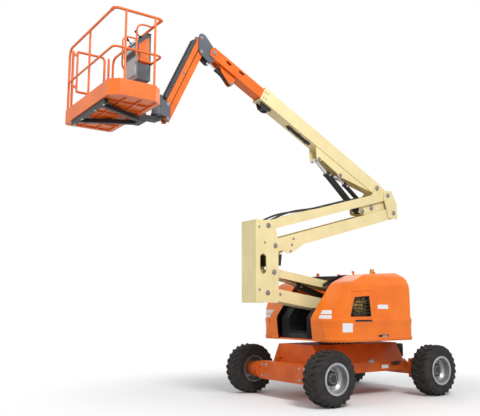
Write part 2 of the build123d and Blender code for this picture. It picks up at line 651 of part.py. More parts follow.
# Jib head with the platform's rotary actuator
rotator_x = head_pin[0] + rotator_reach
rot_low, rot_high = head_pin[1] - 190, head_pin[1] + 105
qx, qz = head_pin
cap = [(qx - 40, qz), (qx, qz + 42), (rotator_x - 30, qz + 70), (rotator_x - 30, rot_low + 2),
       (rotator_x - 105, rot_low + 2),
       (head_foot[0] + 25, head_foot[1] - 32), (head_foot[0], head_foot[1] - 42),
       (head_foot[0] - 40, head_foot[1])]
jib_head = pair(prism_xz(cap, jib_plate_in, jib_plate_out))
jib_head += post(rotator_x, 0, rotator_r, rot_low, rot_high)
for pin in (head_pin, head_foot):
    jib_head += pair(shaft(pin, jib_pin_r, 40, jib_plate_in))
nodes["jib_head"] = jib_head

# Platform support: turntable flange, neck and two arms to a cross beam under the tray
tray_rear = rotator_x + tray_reach
tray_front = tray_rear + tray_depth
tray_z = rot_low - tray_drop
under = tray_z - seat_gap
neck = 70.0
support = post(rotator_x, 0, rotator_r + 6, rot_low - 30, rot_low - seat_gap)
support += block(rotator_x, tray_rear - 70, -neck, neck, rot_low - 90, rot_low - 30)
support += block(rotator_x - 60, rotator_x + 60, -neck, neck, rot_low - 60, rot_low - 30)
support += block(tray_rear - 110, tray_rear - 10, -130, 130, tray_z - beam_h, rot_low - 30)
arm_end = tray_half - 405
arm_plan = [(tray_rear - 90, 60), (tray_rear - 10, 130), (tray_front - 35, arm_end),
            (tray_front - 35, arm_end - 70), (tray_rear - 10, 60)]
support += pair(prism_xy(arm_plan, tray_z - beam_h, under))
beam_end = tray_half - 265
support += block(tray_front - 75, tray_front - 20, -beam_end, beam_end, tray_z - beam_h, under)
nodes["platform_support"] = support

# Tray: floor on a grid of ribs, with toe boards round it and a low step at the gate
gate_x0 = tray_rear + 120
gate_x1 = tray_front - 95
floor_low = tray_z + rib_h
floor_top = floor_low + floor_t
toe_z = tray_z + toe_h


def tray_outline(inset):
    low_x, high_x, side = tray_rear + inset, tray_front - inset, tray_half - inset
    shift = inset * (2 - math.sqrt(2))
    nick = tray_nick - shift
    cut = tray_cut - shift
    return [(low_x, -side + nick), (low_x + nick, -side), (high_x - nick, -side), (high_x, -side + nick),
            (high_x, side - cut), (high_x - cut, side), (low_x + cut, side), (low_x, side - cut)]


tray = prism_xy(tray_outline(0), tray_z, toe_z) - prism_xy(tray_outline(toe_t), floor_top, toe_z + past)
margin = tray_cut / 2
rib_xs = [tray_rear + margin + (tray_depth - tray_cut) * k / 3 for k in range(4)]
rib_ys = [(tray_half - margin) * (k / 3 - 1) for k in range(7)]
for x0, x1 in zip(rib_xs, rib_xs[1:]):
    for y0, y1 in zip(rib_ys, rib_ys[1:]):
        tray -= block(x0 + rib_t / 2, x1 - rib_t / 2, y0 + rib_t / 2, y1 - rib_t / 2, tray_z - past,
                      floor_low)
tray -= block(gate_x0 - 20, gate_x1 + 20, -tray_half - past, -tray_half + 20, tray_z + 90, toe_z + past)
nodes["platform_tray"] = tray

# Rails: front and rear frames, joined on the left by tubes that turn both corners
in_set = toe_t + rail_r + seat_gap
side_y = tray_half - in_set
fx = tray_front - in_set
rx = tray_rear + in_set
stand = floor_top + seat_gap
mid_z = tray_z + mid_h
top_z = tray_z + rail_h
elbow_y = side_y - rail_elbow - 5
corner_y = side_y - (tray_nick - 2 * in_set + math.sqrt(2) * (toe_t + rail_r + seat_gap))


def tube_along(points, bend, r):
    path = FilletPolyline(*points, radius=bend)
    return sweep(Plane(origin=path @ 0, z_dir=path % 0) * Circle(r), path=path)


for name, x, middle_y in (("rail_front", fx, 0.0), ("rail_rear", rx, -300.0)):
    end_y = elbow_y - seat_gap
    rail = tube_along([(x, -corner_y, stand), (x, -corner_y, top_z), (x, end_y, top_z)], rail_bend, rail_r)
    rail += rod((x, -corner_y, mid_z), (x, end_y, mid_z), mid_r)
    rail += rod((x, middle_y, stand), (x, middle_y, top_z), mid_r)
    nodes[name] = rail
hoop_x = rx + 250
console_y0, console_y1 = 120.0, 560.0
for y in (console_y0 - 25, console_y1 + 25):
    hoop = [(rx, y, mid_z), (hoop_x, y, mid_z), (hoop_x, y, top_z), (rx, y, top_z)]
    nodes["rail_rear"] += tube_along(hoop, rail_bend, hoop_r)
left = None
for z, r in ((top_z, rail_r), (mid_z, mid_r)):
    turn = [(fx, elbow_y, z), (fx, side_y, z), (rx, side_y, z), (rx, elbow_y, z)]
    tube = tube_along(turn, rail_elbow, r)
    left = tube if left is None else left + tube
for x in (tray_rear + tray_cut + 15, tray_front - tray_cut - 75):
    left += rod((x, side_y, stand), (x, side_y, top_z), mid_r)
nodes["rail_left"] = left
gate_y = -side_y
near_x, far_x = gate_x0 - 28, gate_x1 + 8
gate_axis_x = far_x - gate_in / 2
gate_foot = toe_z + 330
hinge_zs = (toe_z + 400, top_z - 60)
posts = rod((far_x, gate_y, stand), (far_x, gate_y, top_z), rail_r)
posts += rod((near_x, gate_y, stand), (near_x, gate_y, top_z), rail_r)
for z in hinge_zs:
    posts += block(gate_axis_x, far_x, gate_y - 10, gate_y + 10, z - 18, z)
    posts += post(gate_axis_x, gate_y, gate_eye_r, z - 18, z)
    posts += post(gate_axis_x, gate_y, gate_pin_r, z, z + 30)
nodes["rail_right"] = posts
gx0, gx1 = near_x + gate_in, far_x - gate_in
gate = tube_along([(gx1, gate_y, gate_foot), (gx0, gate_y, gate_foot), (gx0, gate_y, top_z),
                   (gx1, gate_y, top_z)], 60, rail_r)
gate += rod((gx1, gate_y, gate_foot), (gx1, gate_y, top_z), mid_r)
for z in hinge_zs:
    gate += block(gx1, gate_axis_x, gate_y - 10, gate_y + 10, z + seat_gap, z + 24)
    gate += post(gate_axis_x, gate_y, gate_eye_r, z + seat_gap, z + 24)
    gate -= post(gate_axis_x, gate_y, gate_pin_r + run_gap, z - past, z + 40)
nodes["gate"] = gate

# Console: a cabinet on the rear rail with a sloped control box on top
panel_x = rx + mid_r + seat_gap
cabinet = [(panel_x, tray_z + 400), (panel_x + 185, tray_z + 400), (panel_x + 185, tray_z + 800),
           (panel_x + 225, tray_z + 830),
           (panel_x + 225, tray_z + 920), (panel_x + 60, tray_z + 1090), (panel_x, tray_z + 1090)]
nodes["console"] = prism_xz(cabinet, console_y0, console_y1)

# Cylinders: a barrel with a base eye and a gland, and a rod with an eye at the far end
# Columns: name, base pin, eye pin, barrel and rod radius, their shares of the span, half boss, base pin radius
cylinder_table = [
    ("tower", mast_low, pin_low_tie, 55, 34, 0.7115, 0.5158, 44, pin_r),
    ("lift", lift_base, lift_pin, 58, 34, 0.7578, 0.6924, 34, lift_pin_r),
    ("level", level_base, level_pin, 40, 20, 0.7655, 0.6878, 30, level_pin_r),
    ("slave", slave_pin, slave_eye, 30, 16, 0.6927, 0.5542, 26, slave_pin_r),
]
gland_t = 6.0
gland_len = 40.0
for name, base_pin, eye_pin, barrel_r, rod_r, barrel_share, rod_share, boss_half, base_r in cylinder_table:
    span = math.hypot(eye_pin[0] - base_pin[0], eye_pin[1] - base_pin[1])
    way = math.atan2(eye_pin[1] - base_pin[1], eye_pin[0] - base_pin[0])

    def on_axis(distance):
        spot = at(base_pin, way, distance)
        return (spot[0], 0, spot[1])

    mouth = barrel_share * span
    barrel = rod(on_axis(0), on_axis(mouth), barrel_r)
    barrel += rod(on_axis(mouth - gland_len), on_axis(mouth), barrel_r + gland_t)
    barrel += shaft(base_pin, base_r + 16, -boss_half, boss_half)
    barrel -= rod(on_axis(base_r + 30), on_axis(mouth + past), rod_r + run_gap)
    barrel -= shaft(base_pin, base_r + run_gap, -barrel_r - past, barrel_r + past)
    nodes[name + "_barrel"] = barrel
    end_half = min(boss_half, 34)
    plunger = rod(on_axis(span - rod_share * span), on_axis(span), rod_r)
    plunger += shaft(eye_pin, rod_r + 12, -end_half, end_half)
    nodes[name + "_rod"] = plunger

# Jib cylinder: its base straddles a single lug
jib_rod_r = 16.0
jib_barrel_r = 28.0
way = math.atan2(jib_eye[1] - cyl_base[1], jib_eye[0] - cyl_base[0])
span = math.hypot(jib_eye[1] - cyl_base[1], jib_eye[0] - cyl_base[0])


def on_jib(distance):
    spot = at(cyl_base, way, distance)
    return (spot[0], 0, spot[1])


mouth = 0.849 * span
barrel = rod(on_jib(45), on_jib(mouth), jib_barrel_r)
for side in (-1, 1):
    ear = block(-jib_foot_r, 60, side * 19 - 7, side * 19 + 7, -20, 20)
    barrel += Pos(cx, 0, cz) * Rot(0, -math.degrees(way), 0) * ear
barrel -= rod(on_jib(75), on_jib(mouth + past), jib_rod_r + run_gap)
barrel -= shaft(cyl_base, jib_foot_r + run_gap, -jib_out, jib_out)
nodes["jib_barrel"] = barrel
plunger = rod(on_jib(span - 0.747 * span), on_jib(span), jib_rod_r)
plunger += shaft(jib_eye, jib_rod_r + 6, -24, 24)
nodes["jib_rod"] = plunger

# The origin lies midway between the rear tyres and the front of the tray
center_x = (tray_front + rear_x - tyre_od / 2) / 2
os.makedirs("parts", exist_ok=True)
for name, shape in nodes.items():
    export_step(Pos(-center_x, 0, 0) * shape, "parts/" + name + ".step")
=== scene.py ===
import bpy, bmesh, json, math
from mathutils import Matrix, Vector
from mathutils.bvhtree import BVHTree


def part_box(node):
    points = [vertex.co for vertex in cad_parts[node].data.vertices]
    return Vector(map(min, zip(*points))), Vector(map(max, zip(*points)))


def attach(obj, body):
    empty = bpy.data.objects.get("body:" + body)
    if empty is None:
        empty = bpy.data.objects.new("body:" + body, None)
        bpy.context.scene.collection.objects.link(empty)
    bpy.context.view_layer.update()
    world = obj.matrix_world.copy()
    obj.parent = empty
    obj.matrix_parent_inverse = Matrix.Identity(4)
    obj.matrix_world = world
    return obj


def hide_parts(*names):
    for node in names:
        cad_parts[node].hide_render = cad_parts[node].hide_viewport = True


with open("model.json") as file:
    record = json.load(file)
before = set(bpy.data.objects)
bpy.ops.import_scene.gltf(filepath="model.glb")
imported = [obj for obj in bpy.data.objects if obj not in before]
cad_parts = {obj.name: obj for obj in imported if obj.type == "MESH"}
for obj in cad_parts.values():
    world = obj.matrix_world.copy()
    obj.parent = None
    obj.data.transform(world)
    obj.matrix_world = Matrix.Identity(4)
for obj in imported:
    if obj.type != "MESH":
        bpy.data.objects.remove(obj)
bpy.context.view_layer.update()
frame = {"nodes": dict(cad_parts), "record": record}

nodes = frame["nodes"]

# Chassis: a welded steel box between the axles, sprayed orange; its orange is made darker than the body's as
# painted shade, low under the turntable.
# The plates are cut, folded and seam welded; mud and dust gather along the foot.
slew_x = -1.5655
axle_x = {"front": slew_x + 1.185, "rear": slew_x - 1.185}
axle_z = 0.419
up = (0, 0, 1)


class Ink:
    """A shader socket that takes part in sums."""

    def __init__(self, tree, socket=None):
        self.tree, self.socket = tree, socket

    def node(self, kind, settings=None, inputs=None, out=0):
        made = self.tree.nodes.new(kind)
        for key, value in (settings or {}).items():
            setattr(made, key, value)
        for key, value in (inputs or {}).items():
            socket = made.inputs[key]
            if isinstance(value, Ink):
                self.tree.links.new(value.socket, socket)
            else:
                socket.default_value = value
        return Ink(self.tree, made.outputs[out])

    def math(self, operation, other):
        return self.node("ShaderNodeMath", {"operation": operation}, {0: self, 1: other})

    def __add__(self, other):
        return self.math("ADD", other)

    __radd__ = __add__

    def __mul__(self, other):
        return self.math("MULTIPLY", other)

    __rmul__ = __mul__

    def __sub__(self, other):
        return self.math("SUBTRACT", other)

    def __rsub__(self, other):
        return (self * -1.0) + other

    def step(self, low, high):
        return self.node("ShaderNodeMapRange", {"interpolation_type": "SMOOTHSTEP"},
                         {"Value": self, "From Min": low, "From Max": high})

    def mix(self, first, second):
        return self.node("ShaderNodeMix", {"data_type": "RGBA"}, {0: self, 6: first, 7: second}, out=2)

    def noise(self, coords, scale, detail=4.0, rough=0.55):
        return self.node("ShaderNodeTexNoise", None,
                         {"Vector": coords, "Scale": scale, "Detail": detail, "Roughness": rough})


def start(name):
    """A blank material, its node maker and its object coordinates."""
    material = bpy.data.materials.new(name)
    material.use_nodes = True
    tree = material.node_tree
    tree.nodes.clear()
    ink = Ink(tree)
    return material, ink, ink.node("ShaderNodeTexCoord", out=3)


def close(material, ink, colour, rough, bump, bump_size, metal=0.0, coat=0.0):
    """The last nodes of a finish: bump, shader and output."""
    normal = ink.node("ShaderNodeBump", None, {"Strength": 0.6, "Distance": bump_size, "Height": bump})
    shader = ink.node("ShaderNodeBsdfPrincipled", None, {
        "Base Color": colour, "Roughness": rough, "Metallic": metal, "Coat Weight": coat,
        "Coat Roughness": 0.12, "Specular IOR Level": 0.28, "Normal": normal})
    output = ink.tree.nodes.new("ShaderNodeOutputMaterial")
    ink.tree.links.new(shader.socket, output.inputs["Surface"])
    return material


def paint(name, colour, deep, dust_top=0.9, dust=0.5, rough=0.34, coat=0.35, chips=0.35, streak=0.25):
    """Sprayed enamel: cloudy tone, rain streaks, dust that thins with height, chips down to primer."""
    primer, yard_dust = (0.17, 0.145, 0.125, 1), (0.30, 0.235, 0.17, 1)
    stain = (deep[0] * 0.62, deep[1] * 0.62, deep[2] * 0.62, 1)
    material, ink, place = start(name)
    height = ink.node("ShaderNodeSeparateXYZ", None, {0: place}, out=2)
    cloud = ink.noise(place, 2.6, 5.0).step(0.3, 0.72)
    tone = cloud.mix((*deep, 1), (*colour, 1))
    drawn_down = ink.node("ShaderNodeMapping", None, {"Vector": place, "Scale": (14.0, 14.0, 0.7)})
    runs = ink.noise(drawn_down, 1.6, 6.0, 0.6).step(0.52, 0.76)
    tone = (runs * streak).mix(tone, stain)
    specks = ink.noise(place, 46.0, 3.0, 0.7)
    chipped = specks.step(0.735, 0.765) * ink.noise(place, 3.1, 2.0).step(0.5, 0.66) * chips
    tone = chipped.mix(tone, primer)
    low = height.step(dust_top, dust_top * 0.25)
    grime = low * ink.noise(place, 5.5, 6.0, 0.65).step(0.28, 0.74) * dust
    tone = grime.mix(tone, yard_dust)
    gloss = ink.noise(place, 9.0, 5.0) * 0.16 + (rough + 0.04)
    gloss = gloss + grime * 0.42 + chipped * 0.3 + runs * 0.06
    peel = ink.noise(place, 130.0, 2.0) * 0.35 + specks * 0.15 - chipped * 1.4
    shine = (1.0 - grime) * (coat * 0.4)
    return close(material, ink, tone, gloss, peel, 0.0007, coat=shine)


# The chassis orange is a darker copy of the body orange: painted shade for the frame under the turntable. The
# dust along the foot is real dust.
frame_orange = paint("frame_orange", (0.66, 0.115, 0.006), (0.52, 0.078, 0.004),
                     dust_top=0.70, dust=0.24, rough=0.40, coat=0.2, chips=0.5)


def wear(names, material):
    """The finish of a CAD node."""
    for name in names:
        slots = nodes[name].data.materials
        slots.clear()
        slots.append(material)


wear(["chassis_frame", "front_axle", "rear_axle", "knuckle_left", "knuckle_right"], frame_orange)


def in_scene(name, data):
    thing = bpy.data.objects.new(name, data)
    bpy.context.scene.collection.objects.link(thing)
    return thing


def keep(name, mesh, body, material, smooth=None):
    """A finished piece at the origin that moves with a body."""
    thing = in_scene(name, mesh)
    mesh.materials.clear()
    mesh.materials.append(material)
    if smooth is not None:
        for face in mesh.polygons:
            face.use_smooth = True
        mesh.set_sharp_from_angle(angle=math.radians(smooth))
    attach(thing, body)
    return thing


def mesh_of(shape, name):
    """The mesh that an edited shape holds."""
    mesh = bpy.data.meshes.new(name)
    shape.to_mesh(mesh)
    shape.free()
    return mesh


def slab(outline, axis, low, high, bevel=0.003, segments=2):
    """A prism with eased edges; outline in the plane across the axis."""
    shape = bmesh.new()
    order = {"x": (2, 0, 1), "y": (0, 2, 1), "z": (0, 1, 2)}[axis]
    foot = [shape.verts.new([(a, b, low)[k] for k in order]) for a, b in outline]
    head = [shape.verts.new([(a, b, high)[k] for k in order]) for a, b in outline]
    shape.faces.new(foot)
    shape.faces.new(head)
    for k in range(len(foot)):
        n = (k + 1) % len(foot)
        shape.faces.new((foot[k], foot[n], head[n], head[k]))
    bmesh.ops.recalc_face_normals(shape, faces=shape.faces)
    bmesh.ops.bevel(shape, geom=shape.edges[:], offset=bevel, segments=segments, affect="EDGES",
                    clamp_overlap=True)
    return mesh_of(shape, "slab")


def oblong(a0, a1, b0, b1):
    return [(a0, b0), (a1, b0), (a1, b1), (a0, b1)]


def lathe(profile, steps=48, axis="z", centre=(0, 0, 0)):
    """A turned shape; the profile is radius and height, closed on the axis or on itself."""
    shape = bmesh.new()
    rings = []
    for r, h in profile:
        ring = []
        for k in range(steps):
            a = 2 * math.pi * k / steps
            p = (r * math.cos(a), r * math.sin(a), h)
            p = {"z": p, "y": (p[0], p[2], p[1]), "x": (p[2], p[0], p[1])}[axis]
            ring.append(shape.verts.new((p[0] + centre[0], p[1] + centre[1], p[2] + centre[2])))
        rings.append(ring)
    for lower, upper in zip(rings, rings[1:]):
        for k in range(steps):
            n = (k + 1) % steps
            shape.faces.new((lower[k], lower[n], upper[n], upper[k]))
    if profile[0][0] > 0 and profile[0] != profile[-1]:
        shape.faces.new(rings[0])
        shape.faces.new(rings[-1])
    bmesh.ops.remove_doubles(shape, verts=shape.verts[:], dist=1e-6)
    bmesh.ops.recalc_face_normals(shape, faces=shape.faces[:])
    return mesh_of(shape, "lathe")


def join(meshes):
    """Several meshes as one."""
    shape = bmesh.new()
    for mesh in meshes:
        shape.from_mesh(mesh)
    return mesh_of(shape, "joined")


def node_tree(name, inlets):
    """A geometry tree with named inputs, the inputs' identifiers and the inlet's sockets."""
    tree = bpy.data.node_groups.new(name, "GeometryNodeTree")
    keys = {}
    for title, kind in inlets.items():
        socket = tree.interface.new_socket(name=title, in_out="INPUT", socket_type="NodeSocket" + kind)
        keys[title] = socket.identifier
    tree.interface.new_socket(name="Copies", in_out="OUTPUT", socket_type="NodeSocketGeometry")
    return tree, keys, tree.nodes.new("NodeGroupInput").outputs


def lay(tree, points, shape, turn, material, size=None):
    """The end of a tree: copies on points, made real and given their finish."""
    place = tree.nodes.new("GeometryNodeInstanceOnPoints")
    real = tree.nodes.new("GeometryNodeRealizeInstances")
    coat = tree.nodes.new("GeometryNodeSetMaterial")
    coat.inputs["Material"].default_value = material
    link = tree.links.new
    link(points, place.inputs["Points"])
    link(shape, place.inputs["Instance"])
    link(turn, place.inputs["Rotation"])
    if size is not None:
        link(size, place.inputs["Scale"])
    link(place.outputs[0], real.inputs[0])
    link(real.outputs[0], coat.inputs["Geometry"])
    link(coat.outputs[0], tree.nodes.new("NodeGroupOutput").inputs[0])


def settle(holder):
    """The plain mesh that an object gives when worked out; the object itself goes."""
    mesh = bpy.data.meshes.new_from_object(holder.evaluated_get(bpy.context.evaluated_depsgraph_get()))
    bpy.data.objects.remove(holder)
    return mesh


def grow(name, mesh, tree, sizes):
    """The mesh that a tree makes from another one."""
    holder = in_scene(name, mesh)
    modifier = holder.modifiers.new("copies", "NODES")
    modifier.node_group = tree
    for key, value in sizes.items():
        modifier[key] = value
    return settle(holder)


def set_out(name, shape, spots, body, material, scale=1.0, smooth=None):
    """Copies of one small shape on given points, each facing its own way, laid by a node tree."""
    cloud = bpy.data.meshes.new(name)
    cloud.from_pydata([spot for spot, way in spots], [], [])
    facing = cloud.attributes.new("facing", "FLOAT_VECTOR", "POINT")
    for item, (spot, way) in zip(facing.data, spots):
        item.vector = way
    pattern = in_scene(name + "_pattern", shape)
    tree, keys, inlet = node_tree(name, {"Spots": "Geometry", "Size": "Float"})
    source = tree.nodes.new("GeometryNodeObjectInfo")
    source.inputs["Object"].default_value = pattern
    way = tree.nodes.new("GeometryNodeInputNamedAttribute")
    way.data_type = "FLOAT_VECTOR"
    way.inputs["Name"].default_value = "facing"
    turn = tree.nodes.new("FunctionNodeAlignRotationToVector")
    turn.axis = "Z"
    tree.links.new(way.outputs[0], turn.inputs["Vector"])
    lay(tree, inlet["Spots"], source.outputs["Geometry"], turn.outputs[0], material, inlet["Size"])
    mesh = grow(name + "_spots", cloud, tree, {keys["Size"]: scale})
    bpy.data.objects.remove(pattern)
    return keep(name, mesh, body, material, smooth)


def plain(name, colour, rough, grain, spread, bump, metal=0.0, coat=0.0, dust=0.0):
    """Metal, rubber or plastic with a mottled tone and a fine grain."""
    material, ink, place = start(name)
    mottle = ink.noise(place, grain * 0.12, 5.0).step(0.25, 0.75)
    dim = tuple(c * (1 - spread) for c in colour)
    tone = mottle.mix((*dim, 1), (*colour, 1))
    if dust:
        film = ink.noise(place, 7.0, 6.0, 0.65).step(0.42, 0.8) * dust
        tone = film.mix(tone, (0.26, 0.215, 0.165, 1))
    fine = ink.noise(place, grain, 4.0, 0.6)
    return close(material, ink, tone, fine * 0.22 + (rough - 0.11), fine, bump, metal, coat)


zinc = plain("zinc_bolt", (0.50, 0.50, 0.49), 0.38, grain=220.0, spread=0.3, bump=0.0003, metal=0.85)
washer = lathe([(0, 0.003), (0.015, 0.003), (0.016, 0.002), (0.016, 0), (0, 0)], 20)
hexagon = lathe([(0, 0.011), (0.008, 0.011), (0.011, 0.0095), (0.011, 0.003), (0, 0.003)], 6)
bolt = join([hexagon, washer])


def fit_bolts(name, spots, body, scale, material=zinc):
    set_out(name, bolt, spots, body, material, scale)


def bolt_circle(count, radius, centre, way, shift=0.0):
    """Spots on a circle across the Y or the Z axis, all facing one way."""
    spots = []
    for k in range(count):
        a = 2 * math.pi * (k + shift) / count
        u, v = radius * math.cos(a), radius * math.sin(a)
        step = (u, v, 0) if way[2] else (u, 0, v)
        spots.append((tuple(c + d for c, d in zip(centre, step)), way))
    return spots


beam_face = axle_x["front"] + 0.085
spots = [((beam_face, y, z), (1, 0, 0)) for y in (-0.56, -0.44, 0.44, 0.56) for z in (0.335, 0.515)]
fit_bolts("axle_bolts", spots, "chassis", 1.4)
flange = [(0.118, 0.0), (0.139, 0.0), (0.142, 0.004), (0.142, 0.024), (0.138, 0.028), (0.118, 0.028),
          (0.118, 0.0)]
motor_case = [(0.1165, 0.0), (0.131, 0.0), (0.134, 0.004), (0.134, 0.075), (0.129, 0.082), (0.1165, 0.082),
              (0.1165, 0.0)]
flange_y, flange_face, motor_y = 0.6405, 0.6685, 0.735
rings, spots = [], []
for side in (-1, 1):
    for profile, away in ((flange, flange_y), (motor_case, motor_y)):
        rings.append(lathe([(r, side * (h + away)) for r, h in profile], 48, "y", (axle_x["front"], 0, axle_z)))
    spots += bolt_circle(12, 0.129, (axle_x["front"], side * flange_face, axle_z), (0, side, 0), 0.5)
keep("drive_flanges", join(rings), "chassis", frame_orange, smooth=30)
fit_bolts("flange_bolts", spots, "chassis", 0.7)
spots = [((x, 0.5795, 0.58), (0, 0.88, 0.47)) for x in (-1.70, -1.76)]
fit_bolts("test_ports", spots, "chassis", 2.2)
label_white = plain("label_white", (0.78, 0.79, 0.80), 0.36, grain=300.0, spread=0.06, bump=0.0001)
plate = slab(oblong(-2.13, -1.97, 0.445, 0.505), "y", 0.5895, 0.5925, 0.001)
keep("blank_plate", plate, "chassis", label_white)


def pipe(points, radius, resolution=8):
    """A bent tube with closed ends along a smooth line."""
    curve = bpy.data.curves.new("pipe", "CURVE")
    curve.dimensions, curve.bevel_depth, curve.bevel_resolution, curve.use_fill_caps = "3D", radius, 4, True
    line = curve.splines.new("NURBS")
    line.points.add(len(points) - 1)
    for knot, spot in zip(line.points, points):
        knot.co = (*spot, 1)
    line.order_u, line.use_endpoint_u, line.resolution_u = 3, True, resolution
    return settle(in_scene("pipe", curve))


line_black = plain("line_black", (0.022, 0.022, 0.023), 0.48, grain=160.0, spread=0.3, bump=0.0004, dust=0.3)
lines = []
for side in (-1, 1):
    for lift in (0.0, 0.034):
        route = [(-2.20, 0.588, 0.50 + lift), (-2.30, 0.60, 0.50 + lift), (-2.46, 0.585, 0.515 + lift),
                 (-2.60, 0.50, 0.525 + lift), (-2.70, 0.44, 0.535 + lift), (-2.74, 0.44, 0.522)]
        lines.append(pipe([(x, side * y, z) for x, y, z in route], 0.012))
keep("axle_lines", join(lines), "chassis", line_black, smooth=40)
wear(["rear_cover"], line_black)
rear_box = [(-2.638, 0.32), (-2.526, 0.32), (-2.526, 0.47), (-2.545, 0.492), (-2.620, 0.492), (-2.638, 0.47)]
boxes = [slab([(x, side * y) for x, y in rear_box], "z", 0.615, 0.838, 0.006) for side in (-1, 1)]
keep("hose_boxes", join(boxes), "chassis", line_black)
fin = slab(oblong(-0.004, 0.004, -0.004, 0.004), "z", 0.0, 0.19, 0.001, 1)
spots = [((-2.612 + 0.0185 * k, side * 0.4935, 0.632), up) for side in (-1, 1) for k in range(4)]
set_out("hose_box_fins", fin, spots, "chassis", line_black)

# Tyres: thick rubber casings with two rows of chunky bars, dusty from the yard.
# Each is moulded in one piece; the bars are set round the casing by a node tree.
rubber, ink, place = start("dusty_rubber")
grit = ink.noise(place, 9.0, 7.0, 0.68)
fine = ink.noise(place, 190.0, 3.0)
film = grit.step(0.40, 0.80) * 0.42
tone = film.mix((0.020, 0.0185, 0.0175, 1), (0.088, 0.072, 0.058, 1))
tone = (fine.step(0.62, 0.8) * 0.22).mix(tone, (0.13, 0.11, 0.09, 1))
close(rubber, ink, tone, film * 0.14 + 0.74, fine * 0.5 + grit, 0.0025)
seat_r, tread_r, seat_y, track_half = 0.2225, 0.397, 0.120, 1.035
casing = [(seat_r, seat_y), (seat_r, 0.140), (0.232, 0.150), (0.238, 0.158), (0.250, 0.161), (0.262, 0.160),
          (0.290, 0.164), (0.318, 0.1655), (0.322, 0.1668), (0.330, 0.1668), (0.334, 0.165), (0.358, 0.161),
          (0.376, 0.154), (0.388, 0.142), (0.395, 0.122), (tread_r, 0.06)]
casing = casing + [(tread_r, 0.0)] + [(r, -h) for r, h in reversed(casing)] + [(seat_r, seat_y)]


def lug_mesh():
    """One bar: deep at the shoulder, slimmer towards the middle, with eased edges."""
    path = [(0.004, 0.030, 0.402, 0.020), (0.060, 0.008, 0.4175, 0.0225), (0.115, -0.018, 0.4165, 0.0245),
            (0.148, -0.034, 0.405, 0.027), (0.163, -0.041, 0.366, 0.028)]
    base = [0.388, 0.386, 0.382, 0.372, 0.350]
    shape = bmesh.new()
    rows = []
    for (y, x, r, w), foot in zip(path, base):
        corners = ((x - w, y, foot), (x - w * 0.82, y, r), (x + w * 0.82, y, r), (x + w, y, foot))
        rows.append([shape.verts.new(p) for p in corners])
    for a, b in zip(rows, rows[1:]):
        for k in range(3):
            shape.faces.new((a[k], a[k + 1], b[k + 1], b[k]))
    shape.faces.new(rows[0])
    shape.faces.new(rows[-1])
    bmesh.ops.recalc_face_normals(shape, faces=shape.faces[:])
    keen = [e for e in shape.edges if len(e.link_faces) == 2 and e.calc_face_angle() > 0.6]
    bmesh.ops.bevel(shape, geom=keen, offset=0.0035, segments=2, affect="EDGES", clamp_overlap=True)
    return mesh_of(shape, "lug")


def ring_of(name, shape, count, phase, material):
    """Copies of a mesh turned round the Y axis by a node tree."""
    tree, keys, inlet = node_tree(name, {"Shape": "Geometry", "Count": "Int", "Phase": "Float"})
    dots = tree.nodes.new("GeometryNodePoints")
    index = tree.nodes.new("GeometryNodeInputIndex")
    share = tree.nodes.new("ShaderNodeMath")
    share.operation = "DIVIDE"
    circle = tree.nodes.new("ShaderNodeMath")
    circle.operation = "MULTIPLY_ADD"
    circle.inputs[1].default_value = 2 * math.pi
    turn = tree.nodes.new("ShaderNodeCombineXYZ")
    link = tree.links.new
    link(inlet["Count"], dots.inputs["Count"])
    link(index.outputs[0], share.inputs[0])
    link(inlet["Count"], share.inputs[1])
    link(share.outputs[0], circle.inputs[0])
    link(inlet["Phase"], circle.inputs[2])
    link(circle.outputs[0], turn.inputs["Y"])
    lay(tree, dots.outputs[0], inlet["Shape"], turn.outputs[0], material)
    return grow(name, shape, tree, {keys["Count"]: count, keys["Phase"]: phase})


def mirrored(mesh):
    """The other side's copy of a mesh."""
    other = mesh.copy()
    other.transform(Matrix.Diagonal((1, -1, 1, 1)))
    other.flip_normals()
    return other


def on_axle(mesh, x, side):
    """A copy of a left wheel's mesh at one end of an axle."""
    moved = mesh.copy() if side > 0 else mirrored(mesh)
    moved.transform(Matrix.Translation((x, side * track_half, axle_z)))
    return moved


lug, lug_count = lug_mesh(), 24
tyre = join([lathe(casing, 96, "y"), ring_of("lugs_outer", lug, lug_count, 0.0, rubber),
             ring_of("lugs_inner", mirrored(lug), lug_count, math.pi / lug_count, rubber)])
wheels = [("front_left", axle_x["front"], 1), ("front_right", axle_x["front"], -1),
          ("rear_left", axle_x["rear"], 1), ("rear_right", axle_x["rear"], -1)]
for name, x, side in wheels:
    piece = keep("tyre_skin_" + name, on_axle(tyre, x, side), "wheel_" + name, rubber, smooth=32)
    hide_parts("tyre_" + name)

# Rims: pressed steel dishes in silver paint, bolted to a dark planetary hub.
# Nine nuts hold each one; dirt collects in the bottom of the dish.
rim_silver = plain("rim_silver", (0.46, 0.47, 0.49), 0.36,
                   grain=40.0, spread=0.35, bump=0.0008, metal=0.55, dust=0.35)
hub_black = plain("hub_black", (0.040, 0.039, 0.037), 0.55, grain=90.0, spread=0.35, bump=0.0008, dust=0.35)
hub_profile = [(0, 0.1010), (0.052, 0.1010), (0.058, 0.097), (0.060, 0.0925), (0.079, 0.0925), (0.085, 0.089),
               (0.106, 0.0755), (0.107, 0.070), (0.107, 0.0310), (0, 0.0310)]
hub, nut_face, hub_face = lathe(hub_profile, 40, "y"), 1.0655, 1.1275
for name, x, side in wheels:
    body = "wheel_" + name
    wear(["rim_" + name], rim_silver)
    keep("hub_cover_" + name, on_axle(hub, x, side), body, hub_black, smooth=30)
    spots = bolt_circle(9, 0.127, (x, side * nut_face, axle_z), (0, side, 0), 0.5)
    fit_bolts("wheel_nuts_" + name, spots, body, 1.5)
    spots = bolt_circle(12, 0.070, (x, side * hub_face, axle_z), (0, side, 0))
    fit_bolts("hub_bolts_" + name, spots, body, 0.55)

